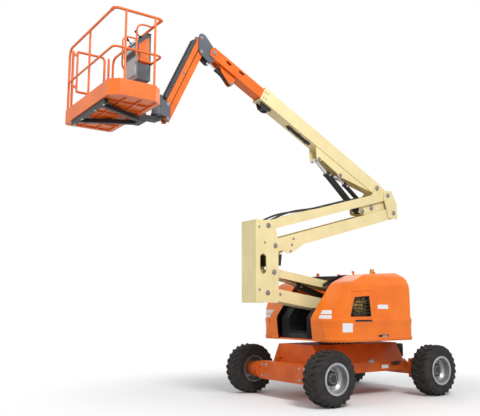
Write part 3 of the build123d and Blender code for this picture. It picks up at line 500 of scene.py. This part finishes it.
# Steering and slew gear: machined steel rod, black ring with its bolt circle.
# The ring is bolted to the frame from above; its teeth are hidden inside.
chrome = plain("hard_chrome", (0.66, 0.67, 0.69), 0.22, grain=260.0, spread=0.12, bump=0.0001, metal=0.95)
black_paint = paint("black_enamel", (0.030, 0.030, 0.032), (0.019, 0.019, 0.020),
                    dust=0.35, rough=0.40, coat=0.15, chips=0.4, streak=0.3)
wear(["steer_rod"], chrome)
wear(["slew_ring"], black_paint)
fit_bolts("slew_bolts", bolt_circle(36, 0.385, (slew_x, 0, 0.860), up), "chassis", 1.1)

# Turntable: welded deck and mast plates in orange, cast counterweight, black bay.
# The engine and tank stand inside the hoods, with a slatted screen over the gap between.
body_orange = paint("body_orange", (0.84, 0.170, 0.012), (0.70, 0.118, 0.008),
                    dust=0.4, rough=0.30, coat=0.4, chips=0.4)
cast_black = plain("cast_black", (0.055, 0.052, 0.050), 0.62,
                   grain=70.0, spread=0.35, bump=0.0016, metal=0.1, dust=0.25)
engine_cast = plain("engine_cast", (0.34, 0.22, 0.085), 0.50,
                    grain=60.0, spread=0.75, bump=0.003, metal=0.35, dust=0.3)
unit_grey = plain("unit_grey", (0.16, 0.165, 0.17), 0.52,
                  grain=80.0, spread=0.35, bump=0.001, metal=0.25, dust=0.3)
bay_black = plain("bay_black", (0.018, 0.018, 0.019), 0.60, grain=60.0, spread=0.4, bump=0.0006, dust=0.15)
lens_amber = plain("beacon_lens", (0.86, 0.30, 0.02), 0.16, grain=40.0, spread=0.18, bump=0.0002, coat=0.6)
wear(["turntable_deck"], body_orange)
wear(["counterweight"], cast_black)
wear(["engine_block"], engine_cast)
wear(["tank_block"], unit_grey)
wear(["inner_bay", "top_screen"], bay_black)
wear(["beacon"], lens_amber)
deck_z = 0.935


def on_deck(points):
    return [(slew_x + x, deck_z + z) for x, z in points]


slat_outline, slat_pitch = oblong(-0.004, 0.004, -0.0035, 0.0035), 0.0195
slat = slab(slat_outline, "z", 0.0, 0.325, 0.001, 1)
rows = [side * (0.245 + slat_pitch * k) for side in (-1, 1) for k in range(10)]
spots = [((slew_x + 0.932, y, deck_z + 0.033), up) for y in rows]
set_out("bay_slats", slat, spots, "turntable", bay_black)
low_slat = slab(slat_outline, "z", 0.0, 0.115, 0.001, 1)
spots = [((slew_x + 0.915, slat_pitch * k, deck_z + 0.030), up) for k in range(-11, 12)]
set_out("bay_slats_low", low_slat, spots, "turntable", bay_black)
screen_top = [(-0.56, 1.105), (0.232, 1.069), (0.575, 0.927)]
louvre_outline, louvre_half = [(-0.011, -0.002), (0.011, 0.006), (0.011, 0.010), (-0.011, 0.002)], 0.085
louvre = slab(louvre_outline, "y", -louvre_half, louvre_half, 0.0012, 1)
spots = []
for k in range(26):
    x = -0.545 + 0.0435 * k
    (x0, z0), (x1, z1) = screen_top[:2] if x < screen_top[1][0] else screen_top[1:]
    height = deck_z + z0 + (z1 - z0) * (x - x0) / (x1 - x0)
    spots += [((slew_x + x, side * 0.3375, height), up) for side in (-1, 1)]
set_out("screen_louvres", louvre, spots, "turntable", bay_black)
beacon_at = (slew_x - 0.5, 0.34, deck_z + 1.105)
dome = [(0.0395, 0.012), (0.0395, 0.080), (0.037, 0.094), (0.028, 0.104), (0.012, 0.108), (0, 0.1085),
        (0, 0.012)]
foot = [(0, 0.0), (0.052, 0.0), (0.052, 0.006), (0.047, 0.013), (0.042, 0.016), (0, 0.016)]
piece = keep("beacon_dome", lathe(dome, 36, "z", beacon_at), "turntable", lens_amber, smooth=40)
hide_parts("beacon")
keep("beacon_foot", lathe(foot, 36, "z", beacon_at), "turntable", bay_black, smooth=30)
shade = on_deck([(0.20, 0.04), (0.72, 0.04), (0.72, 0.50), (0.58, 0.76), (0.20, 0.76)])
keep("tank_shroud", slab(shade, "y", -0.915, -0.8995, 0.003), "turntable", bay_black)
shade = on_deck([(0.519, 0.04), (0.72, 0.04), (0.72, 0.50), (0.58, 0.76), (0.519, 0.76)])
keep("fan_shroud", slab(shade, "y", 0.80, 0.86, 0.004), "turntable", bay_black)
brass = plain("engine_brass", (0.62, 0.40, 0.10), 0.40,
              grain=45.0, spread=0.8, bump=0.002, metal=0.45, dust=0.2)
groove = [(0, 0.0), (0.096, 0.0), (0.100, 0.003), (0.092, 0.011), (0.100, 0.019), (0.096, 0.022),
          (0.060, 0.022), (0.055, 0.012), (0.030, 0.012), (0.026, 0.026), (0, 0.026)]
engine_face = 0.8995
pulleys = []
for x, z, size in ((0.430, 0.55, 1.0), (0.300, 0.64, 0.55), (0.305, 0.455, 0.62), (0.475, 0.695, 0.5)):
    profile = [(r * size, engine_face + h) for r, h in groove]
    pulleys.append(lathe(profile, 32, "y", (slew_x + x, 0, deck_z + z)))
keep("engine_pulleys", join(pulleys), "turntable", brass, smooth=30)
can = [(0, 0.0), (0.030, 0.0), (0.034, 0.004), (0.034, 0.150), (0.030, 0.156), (0.018, 0.160), (0, 0.160)]
turned = lathe(can, 28, "x", (slew_x + 0.225, 0.868, deck_z + 0.790))
keep("oil_filter", turned, "turntable", brass, smooth=30)
eye = [(0.030, -0.012), (0.055, -0.012), (0.058, -0.008), (0.058, 0.008), (0.055, 0.012), (0.030, 0.012),
       (0.030, -0.012)]
spots = [((slew_x - 1.02, side * 0.30, deck_z + 0.50), up) for side in (-1, 1)]
set_out("lifting_eyes", lathe(eye, 32, "x"), spots, "turntable", cast_black, smooth=40)
spots = [((slew_x - 1.0855, y, deck_z + z), (-1, 0, 0)) for y in (-0.24, 0.24) for z in (0.10, 0.34)]
fit_bolts("ballast_bolts", spots, "turntable", 2.4)

# Hoods: moulded covers, one each side, hinged along the inner top edge.
# Blank labels, a flush latch and a rubbing bead are stuck or screwed to the skin.
hood_orange = paint("hood_orange", (0.87, 0.190, 0.008), (0.80, 0.155, 0.006),
                    dust_top=1.1, dust=0.25, rough=0.27, coat=0.45, chips=0.10, streak=0.10)
wear(["hood_left", "hood_right"], hood_orange)
mesh_black = plain("grille_black", (0.016, 0.016, 0.017), 0.5,
                   grain=220.0, spread=0.4, bump=0.0008, metal=0.2, dust=0.12)
wear(["vent_left", "vent_right"], mesh_black)
left_skin = nodes["hood_left"].data
hood_skin = BVHTree.FromPolygons([v.co for v in left_skin.vertices], [f.vertices for f in left_skin.polygons])
ray_y, ray_ring = 1.5, 1.2
front_corner, rear_corner = (-0.9255, 0.62), (-2.2055, 0.89)


def hug(name, rays, heights, lifts, material):
    """A thin plate that lies on the hood's skin, made for the left hood and mirrored for the right."""
    if isinstance(lifts, float):
        lifts = [lifts] * len(heights)
    shape = bmesh.new()
    outer, inner = [], []
    for x, y, dx, dy in rays:
        column = [hood_skin.ray_cast((x, y, z), (dx, dy, 0)) for z in heights]
        away = [hit[1] if hit[1].dot((dx, dy, 0)) < 0 else -hit[1] for hit in column]
        outer.append([shape.verts.new(hit[0] + n * lift) for hit, n, lift in zip(column, away, lifts)])
        inner.append([shape.verts.new(hit[0] - n * 0.001) for hit, n in zip(column, away)])
    for sheet in (outer, inner):
        for a, b in zip(sheet, sheet[1:]):
            for k in range(len(heights) - 1):
                shape.faces.new((a[k], b[k], b[k + 1], a[k + 1]))
    for k in range(len(heights) - 1):
        for n in (0, -1):
            shape.faces.new((outer[n][k], outer[n][k + 1], inner[n][k + 1], inner[n][k]))
    for a, b, c, d in zip(outer, outer[1:], inner, inner[1:]):
        for n in (0, -1):
            shape.faces.new((a[n], b[n], d[n], c[n]))
    bmesh.ops.recalc_face_normals(shape, faces=shape.faces[:])
    mesh = mesh_of(shape, name)
    other = mirrored(mesh)
    keep(name + "_left", mesh, "hood_left", material, smooth=40)
    keep(name + "_right", other, "hood_right", material, smooth=40)


def level(low, high, parts):
    return [low + (high - low) * k / parts for k in range(parts + 1)]


def from_side(x0, x1, parts):
    return [(x, ray_y, 0, -1) for x in level(x0, x1, parts)]


def round_corner(corner, first, last, parts):
    """Rays towards a corner's upright axis, from one angle to another."""
    rays = []
    for a in level(first, last, parts):
        c, s = math.cos(a), math.sin(a)
        rays.append((corner[0] + ray_ring * c, corner[1] + ray_ring * s, -c, -s))
    return rays


for row, (low, high) in enumerate(((1.292, 1.348), (1.364, 1.425))):
    rays = round_corner(front_corner, 0.06, 0.66, 18)
    hug("blank_strip_%d" % row, rays, level(low, high, 3), 0.0032, label_white)
label_rows = level(1.085, 1.225, 8)
rise = [max(0.002, 0.0035 + 0.104 * (z - 1.150)) for z in label_rows]
hug("blank_label", from_side(-0.905, -0.735, 8), label_rows, rise, label_white)
hug("blank_tag", from_side(-1.735, -1.50, 8), level(1.445, 1.512, 4), 0.0020, label_white)
hug("dark_strip", from_side(-1.325, -0.955, 12), level(1.246, 1.276, 3), 0.0145, mesh_black)
hug("latch_plate", from_side(-1.70, -1.475, 10), level(0.985, 1.032, 4), 0.003, mesh_black)
hug("latch_lever", from_side(-1.665, -1.555, 6), level(0.997, 1.020, 3), 0.009, zinc)
bead = round_corner(rear_corner, math.pi * 0.94, math.pi / 2, 12) + from_side(-2.19, -0.94, 24)
bead += round_corner(front_corner, math.pi / 2 - 0.04, 0.1, 20)
foot_rows, foot_lifts = [0.944, 0.950, 0.966, 0.992, 0.998], [0.001, 0.007, 0.009, 0.007, 0.001]
hug("foot_bead", bead, foot_rows, foot_lifts, hood_orange)
belt_rows, belt_lifts = [1.150, 1.232, 1.244, 1.276, 1.286], [0.0005, 0.009, 0.0125, 0.0125, 0.001]
hug("belt_bead", bead, belt_rows, belt_lifts, hood_orange)


def skin_y(x, z):
    """How far out the left hood's skin lies at a place seen from the side."""
    return hood_skin.ray_cast((x, ray_y, z), (0, -1, 0))[0].y


brow = [(0.835, 0.372), (0.810, 0.430), (0.690, 0.715), (0.655, 0.775), (0.590, 0.788), (0.240, 0.812),
        (0.165, 0.800), (0.150, 0.740), (0.150, 0.372)]
brow_left = []
for first, last in zip(brow, brow[1:]):
    for part in range(6):
        x, z = [a + (b - a) * part / 6 for a, b in zip(first, last)]
        hit = hood_skin.ray_cast((slew_x + x, ray_y, deck_z + z), (0, -1, 0))
        brow_left.append(hit[0] - Vector((0, 0.003, 0)))
window = on_deck([(0.560, 0.690), (0.240, 0.715), (0.240, 0.395), (0.690, 0.395)])
window_mid = Vector((slew_x + 0.43, deck_z + 0.55))
trim_left = []
for (xa, za), (xb, zb) in zip(window, window[1:] + window[:1]):
    points = []
    for k in range(9):
        x, z = xa + (xb - xa) * k / 8, za + (zb - za) * k / 8
        out = (Vector((x, z)) - window_mid).normalized() * 0.007
        points.append((x, skin_y(x + out.x, z + out.y) - 0.003, z))
    trim_left.append(points)
for side, hand in ((1, "left"), (-1, "right")):
    line = pipe([(p.x, side * p.y, p.z) for p in brow_left], 0.013, 3)
    keep("window_brow_" + hand, line, "hood_" + hand, hood_orange, smooth=60)
for side, hand in ((1, "left"), (-1, "right")):
    trims = [pipe([(x, side * y, z) for x, y, z in points], 0.007, 4) for points in trim_left]
    keep("vent_trim_" + hand, join(trims), "hood_" + hand, mesh_black, smooth=40)

# Tower: two stacked parallelograms of folded steel arms, all in cream enamel.
# Each pin has a flanged head held by two bolts; the hoses run in black trays on the upper tie.
cream = paint("boom_cream", (0.85, 0.725, 0.395), (0.78, 0.65, 0.335),
              dust_top=0.5, dust=0.3, rough=0.30, coat=0.4, chips=0.3, streak=0.2)
pin_grey = plain("pin_grey", (0.30, 0.27, 0.26), 0.42, grain=140.0, spread=0.3, bump=0.0005, metal=0.6)
wear(["lower_arm", "lower_tie", "upright", "upper_arm", "upper_tie", "tower_head"], cream)
wear(["hose_guard"], bay_black)
joints = frame["record"]["behaviour"]["joints"]
pins = {joint["name"]: (joint["pos_m"][0], joint["pos_m"][2]) for joint in joints if "pos_m" in joint}
disc = [(0, 0.013), (0.017, 0.013), (0.021, 0.010), (0.034, 0.010), (0.038, 0.006), (0.038, 0), (0, 0)]
keeper = bolt.copy()
keeper.transform(Matrix.Translation((0.028, 0, 0.0098)) @ Matrix.Scale(0.45, 4))
keeper_two = keeper.copy()
keeper_two.transform(Matrix.Rotation(math.pi, 4, "Z"))
pin_head = join([lathe(disc, 28), keeper, keeper_two])


def beside(pin, step):
    return (pin[0] + step[0], pin[1] + step[1])


def both_sides(places, y):
    return [((x, side * y, z), (0, side, 0)) for x, z in places for side in (-1, 1)]


def fit_pins(name, body, places, y, scale):
    set_out(name, pin_head, both_sides(places, y), body, pin_grey, scale, smooth=35)


def lean(origin, angle, u, v=0.0):
    """A place given along and across a leaning arm, as X and Z."""
    x = origin[0] + u * math.cos(angle) - v * math.sin(angle)
    return (x, origin[1] + u * math.sin(angle) + v * math.cos(angle))


def leaning(origin, angle, points):
    return [lean(origin, angle, u, v) for u, v in points]


def run_lines(points, rows, radius):
    """Tubes side by side along one line."""
    return join([pipe([(x, y, z) for x, z in points], radius) for y in rows])


low_angle, up_angle, boom_angle = math.radians(8.8), math.radians(-15.3), math.radians(27.4)
lower_pin, upper_pin, tie_pin = pins["upright_level"], pins["upper_arm_swing"], pins["upper_tie_swing"]
head_pin, cheek_y, inner_y, arm_y = pins["tower_head_level"], 0.2, 0.13, 0.178
upright_pins = [lower_pin, beside(lower_pin, (-0.13, 0.33)), upper_pin, tie_pin]
fit_pins("upright_pins", "upright", upright_pins, cheek_y, 1.1)
fit_pins("mast_pins", "turntable", [pins["tower_lift"], pins["lower_tie_swing"]], cheek_y, 1.1)
fit_pins("head_pins", "tower_head", [head_pin, beside(head_pin, (0.14, 0.32))], cheek_y, 1.1)
inner_pins = [pins["boom_lift"], pins["lift_barrel_swing"], pins["level_barrel_swing"]]
fit_pins("cheek_pins", "tower_head", inner_pins, inner_y, 1.25)
places = leaning(upper_pin, up_angle, [(-0.30, -0.155), (-0.42, 0.03), (-0.36, -0.06)])
fit_bolts("upper_arm_bolts", both_sides(places, arm_y), "upper_arm", 1.3, pin_grey)
places = leaning(lower_pin, low_angle, [(-0.16, 0.02), (-0.27, 0.02)])
fit_bolts("lower_arm_bolts", both_sides(places, arm_y), "lower_arm", 1.4, pin_grey)
places = [beside(lower_pin, step) for step in ((0.05, 0.80), (0.16, 0.05), (0.16, 1.05))]
fit_bolts("upright_bolts", both_sides(places, cheek_y), "upright", 1.2, pin_grey)
tray = [(-2.10, 0.0785), (-1.30, 0.0785), (-1.27, 0.090), (-1.30, 0.104), (-2.10, 0.104), (-2.13, 0.090)]
trays = [slab(leaning(tie_pin, up_angle, tray), "y", y, y + 0.033, 0.004) for y in (-0.1755, 0.1425)]
keep("hose_trays", join(trays), "upper_tie", line_black)
route = [(-1.31, 0.090), (-1.00, 0.096), (-0.72, 0.125), (-0.46, 0.130), (-0.24, 0.100), (-0.12, 0.078),
         (-0.09, 0.060)]
hump = run_lines(leaning(tie_pin, up_angle, route), (-0.159, 0.159), 0.0165)
keep("tie_lines", hump, "upper_tie", line_black, smooth=40)

# Main boom and fly boom: long box sections, the fly sliding in bolted wear pads.
# A collar stiffens the mouth, and a sheave hangs in its bracket below the box behind it.
link_orange = paint("link_orange", (0.84, 0.170, 0.012), (0.72, 0.124, 0.008),
                    dust_top=0.5, dust=0.2, rough=0.30, coat=0.4, chips=0.3)
wear(["main_boom"], cream)
wear(["fly_boom"], link_orange)
pivot = pins["boom_lift"]


def on_boom(points):
    return leaning(pivot, boom_angle, points)


fit_pins("gusset_pins", "main_boom", on_boom([(1.410, -0.300), (0.860, -0.280)]), 0.098, 1.0)
fit_pins("nose_pins", "fly_boom", [pins["jib_base_level"]], 0.096, 1.0)
fit_pins("slave_pins", "fly_boom", [pins["slave_barrel_swing"]], 0.052, 0.75)
pad_rows = (2.858, 2.912)
places = on_boom([(u, v) for u in pad_rows for v in (-0.055, 0.045)])
fit_bolts("pad_bolts", both_sides(places, 0.112), "main_boom", 1.0)
across_boom = (-math.sin(boom_angle), 0, math.cos(boom_angle))
spots = []
for u in pad_rows:
    for y in (-0.045, 0.045):
        for v, way in ((0.118, 1), (-0.124, -1)):
            x, z = lean(pivot, boom_angle, u, v)
            spots.append(((x, y, z), tuple(way * c for c in across_boom)))
fit_bolts("pad_bolts_across", spots, "main_boom", 1.0)
collar = []
for v0, v1, y0, y1 in ((0.116, 0.124, -0.118, 0.118), (-0.130, -0.122, -0.118, 0.118),
                       (-0.124, 0.118, 0.110, 0.118), (-0.124, 0.118, -0.118, -0.110)):
    collar.append(slab(on_boom(oblong(2.930, 2.955, v0, v1)), "y", y0, y1, 0.002))
keep("mouth_collar", join(collar), "main_boom", cream)
bracket = on_boom([(2.66, -0.122), (2.90, -0.122), (2.90, -0.160), (2.84, -0.215), (2.74, -0.215),
                   (2.66, -0.165)])
plates = [slab(bracket, "y", y, y + 0.008, 0.002) for y in (-0.062, 0.054)]
keep("sheave_bracket", join(plates), "main_boom", black_paint)
sheave = [(0, -0.053), (0.026, -0.053), (0.040, -0.050), (0.040, -0.030), (0.032, -0.024), (0.032, 0.024),
          (0.040, 0.030), (0.040, 0.050), (0.026, 0.053), (0, 0.053)]
x, z = lean(pivot, boom_angle, 2.79, -0.178)
keep("hose_sheave", lathe(sheave, 36, "y", (x, 0, z)), "main_boom", line_black, smooth=40)
route = on_boom([(2.22, -0.128), (2.18, -0.134), (2.00, -0.134), (1.75, -0.134), (1.66, -0.128)])
lines = run_lines(route, (-0.030, -0.010, 0.010, 0.030), 0.009)
keep("boom_lines", lines, "main_boom", line_black, smooth=40)
clamp = slab(oblong(-0.025, 0.025, -0.048, 0.048), "z", 0.0, 0.022, 0.003)
places = on_boom([(u, -0.124) for u in (1.74, 1.94, 2.14)])
spots = [((x, 0, z), tuple(-c for c in across_boom)) for x, z in places]
set_out("line_clamps", clamp, spots, "main_boom", black_paint)

# Jib: grey brackets, orange beam and tie, a ribbed dark duct for the hoses.
# The rotary actuator at the lower end has a bolted cap on top and two bands round it.
steel_grey = paint("steel_grey", (0.125, 0.137, 0.160), (0.092, 0.100, 0.117),
                   dust=0.2, rough=0.42, coat=0.15, chips=0.4)
duct_grey = plain("duct_grey", (0.060, 0.064, 0.072), 0.52, grain=150.0, spread=0.25, bump=0.0006, dust=0.1)
wear(["jib_beam", "jib_tie"], link_orange)
wear(["jib_base", "jib_head"], steel_grey)
wear(["jib_duct"], duct_grey)
jib_pin, jib_foot, jib_end = pins["jib_lift"], pins["jib_tie_swing"], pins["jib_head_level"]
jib_angle = math.atan2(jib_end[1] - jib_pin[1], jib_end[0] - jib_pin[0])
jib_cheek = 0.082
fit_pins("jib_base_pins", "jib_base", [jib_pin, jib_foot], jib_cheek, 0.85)
fit_pins("jib_head_pins", "jib_head", [jib_end, beside(jib_end, (0, -0.23))], jib_cheek, 0.85)
fit_pins("jib_eye_pins", "jib_beam", [lean(jib_pin, jib_angle, 0.70, -0.008)], 0.060, 0.6)
top_rib = slab([(-0.008, 0.0), (0.008, 0.0), (0.006, 0.012), (-0.006, 0.012)], "y", -0.048, 0.048, 0.002, 1)
side_rib = slab(oblong(-0.008, 0.008, 0.046, 0.094), "y", -0.053, 0.053, 0.002, 1)
for name, rib, v in (("duct_ribs", top_rib, 0.0975), ("duct_side_ribs", side_rib, 0.0)):
    rib.transform(Matrix.Rotation(-jib_angle, 4, "Y"))
    places = leaning(jib_pin, jib_angle, [(0.115 + 0.0425 * k, v) for k in range(27)])
    set_out(name, rib, [((x, 0, z), up) for x, z in places], "jib_beam", duct_grey)
turn_x, rot_low = pins["platform_turn"]
rot_high = jib_end[1] + 0.105
cap = [(0, 0.0), (0.090, 0.0), (0.094, 0.004), (0.094, 0.018), (0.088, 0.024), (0.050, 0.026),
       (0.046, 0.040), (0, 0.040)]
keep("actuator_cap", lathe(cap, 40, "z", (turn_x, 0, rot_high)), "jib_head", steel_grey, smooth=30)
fit_bolts("actuator_bolts", bolt_circle(10, 0.072, (turn_x, 0, rot_high + 0.0245), up), "jib_head", 0.7)
band = [(0.0865, 0.0), (0.096, 0.002), (0.096, 0.020), (0.0865, 0.022), (0.0865, 0.0)]
bands = [lathe(band, 40, "z", (turn_x, 0, rot_low + h)) for h in (0.010, 0.135)]
keep("actuator_bands", join(bands), "jib_head", steel_grey, smooth=30)

# Platform: folded tray on a black frame, tube rails with clamps, a gate and a console.
# The console is a grey moulding with sticks and switches under a tube guard.
console_grey = plain("console_grey", (0.42, 0.42, 0.43), 0.45, grain=120.0, spread=0.12, bump=0.0005)
dark_grey = plain("console_dark", (0.105, 0.112, 0.122), 0.48, grain=140.0, spread=0.18, bump=0.0006)
red_plastic = plain("stop_red", (0.62, 0.020, 0.015), 0.28, grain=60.0, spread=0.1, bump=0.0002, coat=0.4)
wear(["platform_support"], black_paint)
wear(["platform_tray", "rail_front", "rail_rear", "rail_left", "rail_right", "gate"], link_orange)
wear(["console"], dark_grey)
(tray_rear, _, tray_z), (tray_front, _, _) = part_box("platform_tray")
(box_rear, box_right, box_low), (box_front, box_left, box_high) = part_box("console")
panel_t, step_x = 0.006, box_rear + 0.190


def on_console(points):
    return [(box_rear + x, box_low + z) for x, z in points]


def on_tray(points):
    return [(tray_rear + x, tray_z + z) for x, z in points]


panel = on_console([(0.030, 0.235), (0.165, 0.235), (0.165, 0.415), (0.190, 0.440), (0.190, 0.500),
                    (0.060, 0.630), (0.030, 0.630)])
for side, y in (("left", box_left), ("right", box_right - panel_t)):
    keep("console_side_" + side, slab(panel, "y", y, y + panel_t, 0.002), "platform", link_orange)
face_right, face_left = 0.150, 0.530
outline = oblong(face_right, face_left, box_low + 0.030, box_low + 0.365)
sheet = slab(outline, "x", box_rear + 0.1835, step_x, 0.002)
keep("console_face", sheet, "platform", console_grey)
outline = oblong(face_right, face_left, box_low + 0.440, box_low + 0.505)
sheet = slab(outline, "x", box_front - 0.0015, box_front + 0.005, 0.002)
keep("console_brow", sheet, "platform", console_grey)
slope = math.atan2(-0.170, 0.165)
desk = (box_rear + 0.060, box_high)
cover = leaning(desk, slope, oblong(-0.01, 0.240, -0.002, 0.012))
lid = oblong(box_rear, box_rear + 0.068, box_high - 0.002, box_high + 0.012)
for name, outline in (("console_desk", cover), ("console_lid", lid)):
    sheet = slab(outline, "y", box_right - 0.012, box_left + 0.012, 0.004)
    keep(name, sheet, "platform", dark_grey)
facing = (-math.sin(slope), 0, math.cos(slope))


def on_desk(u, y):
    """A spot on the sloping desk that faces away from it."""
    x, z = lean(desk, slope, u, 0.011)
    return ((x, y, z), facing)


boot = [(0.034, 0.0), (0.034, 0.006), (0.026, 0.012), (0.028, 0.018), (0.021, 0.024), (0.022, 0.030),
        (0.012, 0.036)]
stick = boot + [(0.008, 0.040), (0.008, 0.072), (0.014, 0.078), (0.018, 0.095), (0.018, 0.120), (0.012, 0.130),
                (0, 0.132), (0, 0)]
spots = [on_desk(0.085, y) for y in (0.19, 0.49)]
set_out("joysticks", lathe(stick, 24), spots, "platform", bay_black, smooth=40)
toggle = [(0.009, 0.0), (0.009, 0.004), (0.0055, 0.006), (0.0035, 0.010), (0.0042, 0.026), (0.003, 0.029),
          (0, 0.030), (0, 0)]
spots = [on_desk(u, 0.255 + 0.034 * k) for u in (0.05, 0.10, 0.15) for k in range(6)]
set_out("console_switches", lathe(toggle, 12), spots, "platform", zinc, smooth=40)
button = [(0.013, 0.0), (0.013, 0.012), (0.022, 0.016), (0.022, 0.024), (0.016, 0.030), (0, 0.031), (0, 0)]
set_out("stop_button", lathe(button, 28), [on_desk(0.185, 0.525)], "platform", red_plastic, smooth=40)
pouch = on_console([(0.190, 0.05), (0.222, 0.07), (0.222, 0.28), (0.190, 0.28)])
keep("paper_box", slab(pouch, "y", 0.17, 0.51, 0.006), "platform", console_grey)
pedal = on_tray([(0.33, 0.030), (0.53, 0.030), (0.53, 0.044), (0.40, 0.100), (0.33, 0.100)])
keep("foot_pedal", slab(pedal, "y", 0.25, 0.40, 0.006), "platform", bay_black)
sleeve = [(0.0193, -0.045), (0.0225, -0.045), (0.0235, -0.043), (0.0235, 0.043), (0.0225, 0.045),
          (0.0193, 0.045), (0.0193, -0.045)]
(rail_rear_x, _, _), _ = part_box("rail_rear")
_, (rail_front_x, seam_y, rail_top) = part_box("rail_front")
tube_r = 0.019
spots = [((x, seam_y, rail_top - tube_r), up) for x in (rail_front_x - tube_r, rail_rear_x + tube_r)]
set_out("rail_sleeves", lathe(sleeve, 28, "y"), spots, "platform", link_orange, smooth=40)
latch = on_tray(oblong(0.112, 0.150, 0.86, 0.91))
keep("gate_keeper", slab(latch, "y", -0.889, -0.866, 0.003), "platform", zinc)
anchor = [(0.012, -0.006), (0.024, -0.006), (0.026, -0.003), (0.026, 0.003), (0.024, 0.006), (0.012, 0.006),
          (0.012, -0.006)]
spots = [((tray_rear + 0.001, y, tray_z + 0.240), up) for y in (-0.60, -0.10, 0.70)]
set_out("lanyard_anchors", lathe(anchor, 24, "x"), spots, "platform", link_orange, smooth=40)
beam_x = tray_front - 0.02 - 0.0275
spots = [((beam_x, y, tray_z - 0.0623), (0, 0, -1)) for y in (-0.56, -0.25, 0.25, 0.56)]
fit_bolts("support_bolts", spots, "platform", 1.2)

# Cylinders: black barrels with screwed glands and hard lines, chromed rods.
# Each swings on a pin at its base; the rod's eye is welded on.
port_low, port_high, tube_size = 0.10, 0.07, 0.0065
slides = {joint["name"]: joint["axis"] for joint in joints if joint["type"] == "slide"}
for name in ("tower", "lift", "level", "slave", "jib"):
    wear([name + "_barrel"], black_paint)
    wear([name + "_rod"], chrome)
for name, radius, reach in (("tower", 0.055, 1.60), ("lift", 0.058, 0.985), ("level", 0.040, 0.69)):
    way = Vector(slides[name + "_rod_slide"])
    base_x, base_z = pins[name + "_barrel_swing"]
    foot = Vector((base_x, 0, base_z))
    near, far = foot + way * port_low, foot + way * (reach - port_high)
    tubes = []
    for side in (-1, 1):
        across = Vector((0, side, 0))
        port, rise, bend = across * (radius - 0.004), across * (radius + 0.012), way * 0.05
        middle = foot + way * reach * 0.5
        tubes.append(pipe([near + port, near + rise * 1.1, near + bend + rise, middle + rise,
                           far - bend + rise, far + rise * 1.1, far + port], tube_size, 6))
    keep(name + "_hard_lines", join(tubes), name + "_barrel", black_paint, smooth=40)
    spots = [((end.x, side * (radius - 0.001), end.z), (0, side, 0)) for end in (far, near) for side in (-1, 1)]
    fit_bolts(name + "_ports", spots, name + "_barrel", 1.3)

# Studio: a pale floor that fades out round the machine, and a white surround.
# Three soft round lamps light it, and the camera stands where the photograph was taken.
floor_mesh = bpy.data.meshes.new("floor")
floor_mesh.from_pydata([(-14, -14, 0), (14, -14, 0), (14, 14, 0), (-14, 14, 0)], [], [(0, 1, 2, 3)])
floor = in_scene("floor", floor_mesh)
pale, ink, place = start("pale_floor")
tone = ink.noise(place, 0.8, 4.0).mix((0.86, 0.86, 0.86, 1), (0.90, 0.90, 0.90, 1))
ground = ink.node("ShaderNodeBsdfDiffuse", None, {"Color": tone})
centre = ink.node("ShaderNodeMapping", None, {"Vector": place, "Location": (1.4, 0.0, 0.0)})
far_out = ink.node("ShaderNodeVectorMath", {"operation": "LENGTH"}, {0: centre}, out=1)
gone = ink.node("ShaderNodeBsdfTransparent")
mixed = ink.node("ShaderNodeMixShader", None, {0: far_out.step(2.2, 5.5), 1: ground, 2: gone})
output = ink.tree.nodes.new("ShaderNodeOutputMaterial")
ink.tree.links.new(mixed.socket, output.inputs["Surface"])
floor_mesh.materials.append(pale)
world = bpy.data.worlds.new("studio_sky")
bpy.context.scene.world = world
world.use_nodes = True
world.node_tree.nodes.clear()
sky = Ink(world.node_tree)
seen, mirror_ray, through = [sky.node("ShaderNodeLightPath", out=kind)
                             for kind in ("Is Camera Ray", "Is Glossy Ray", "Is Transmission Ray")]
white = seen.math("MAXIMUM", mirror_ray).math("MAXIMUM", through)
tone = white.mix((0.50, 0.51, 0.53, 1), (1, 1, 1, 1))
glow = sky.node("ShaderNodeBackground", None, {"Color": tone, "Strength": 1.0})
output = sky.tree.nodes.new("ShaderNodeOutputWorld")
sky.tree.links.new(glow.socket, output.inputs["Surface"])
lamps = (("key", (1.5, 8.5, 9.5), (-0.6, 0, 2.2), 4.0, 900), ("fill", (9.0, 0.5, 5.0), (0, 0, 2.5), 5.0, 200),
         ("rim", (-8.0, -5.0, 8.0), (0, 0, 2.5), 6.0, 140))
for name, spot, aim, size, power in lamps:
    lamp = bpy.data.lights.new(name, "AREA")
    lamp.shape, lamp.size, lamp.energy = "DISK", size, power
    light = in_scene(name, lamp)
    light.location = spot
    light.rotation_euler = (Vector(aim) - Vector(spot)).to_track_quat("-Z", "Y").to_euler()
lens = bpy.data.cameras.new("camera")
lens.lens, lens.sensor_width, lens.clip_end = 47.5, 36.0, 200
camera_yaw, camera_pitch = -124.15, 8.89
camera = in_scene("camera", lens)
camera.location = (6.2085, 8.366, 1.474)
camera.rotation_euler = (math.radians(90 + camera_pitch), 0, math.radians(camera_yaw - 90))
bpy.context.scene.camera = camera
bpy.context.scene.view_settings.view_transform = "Standard"
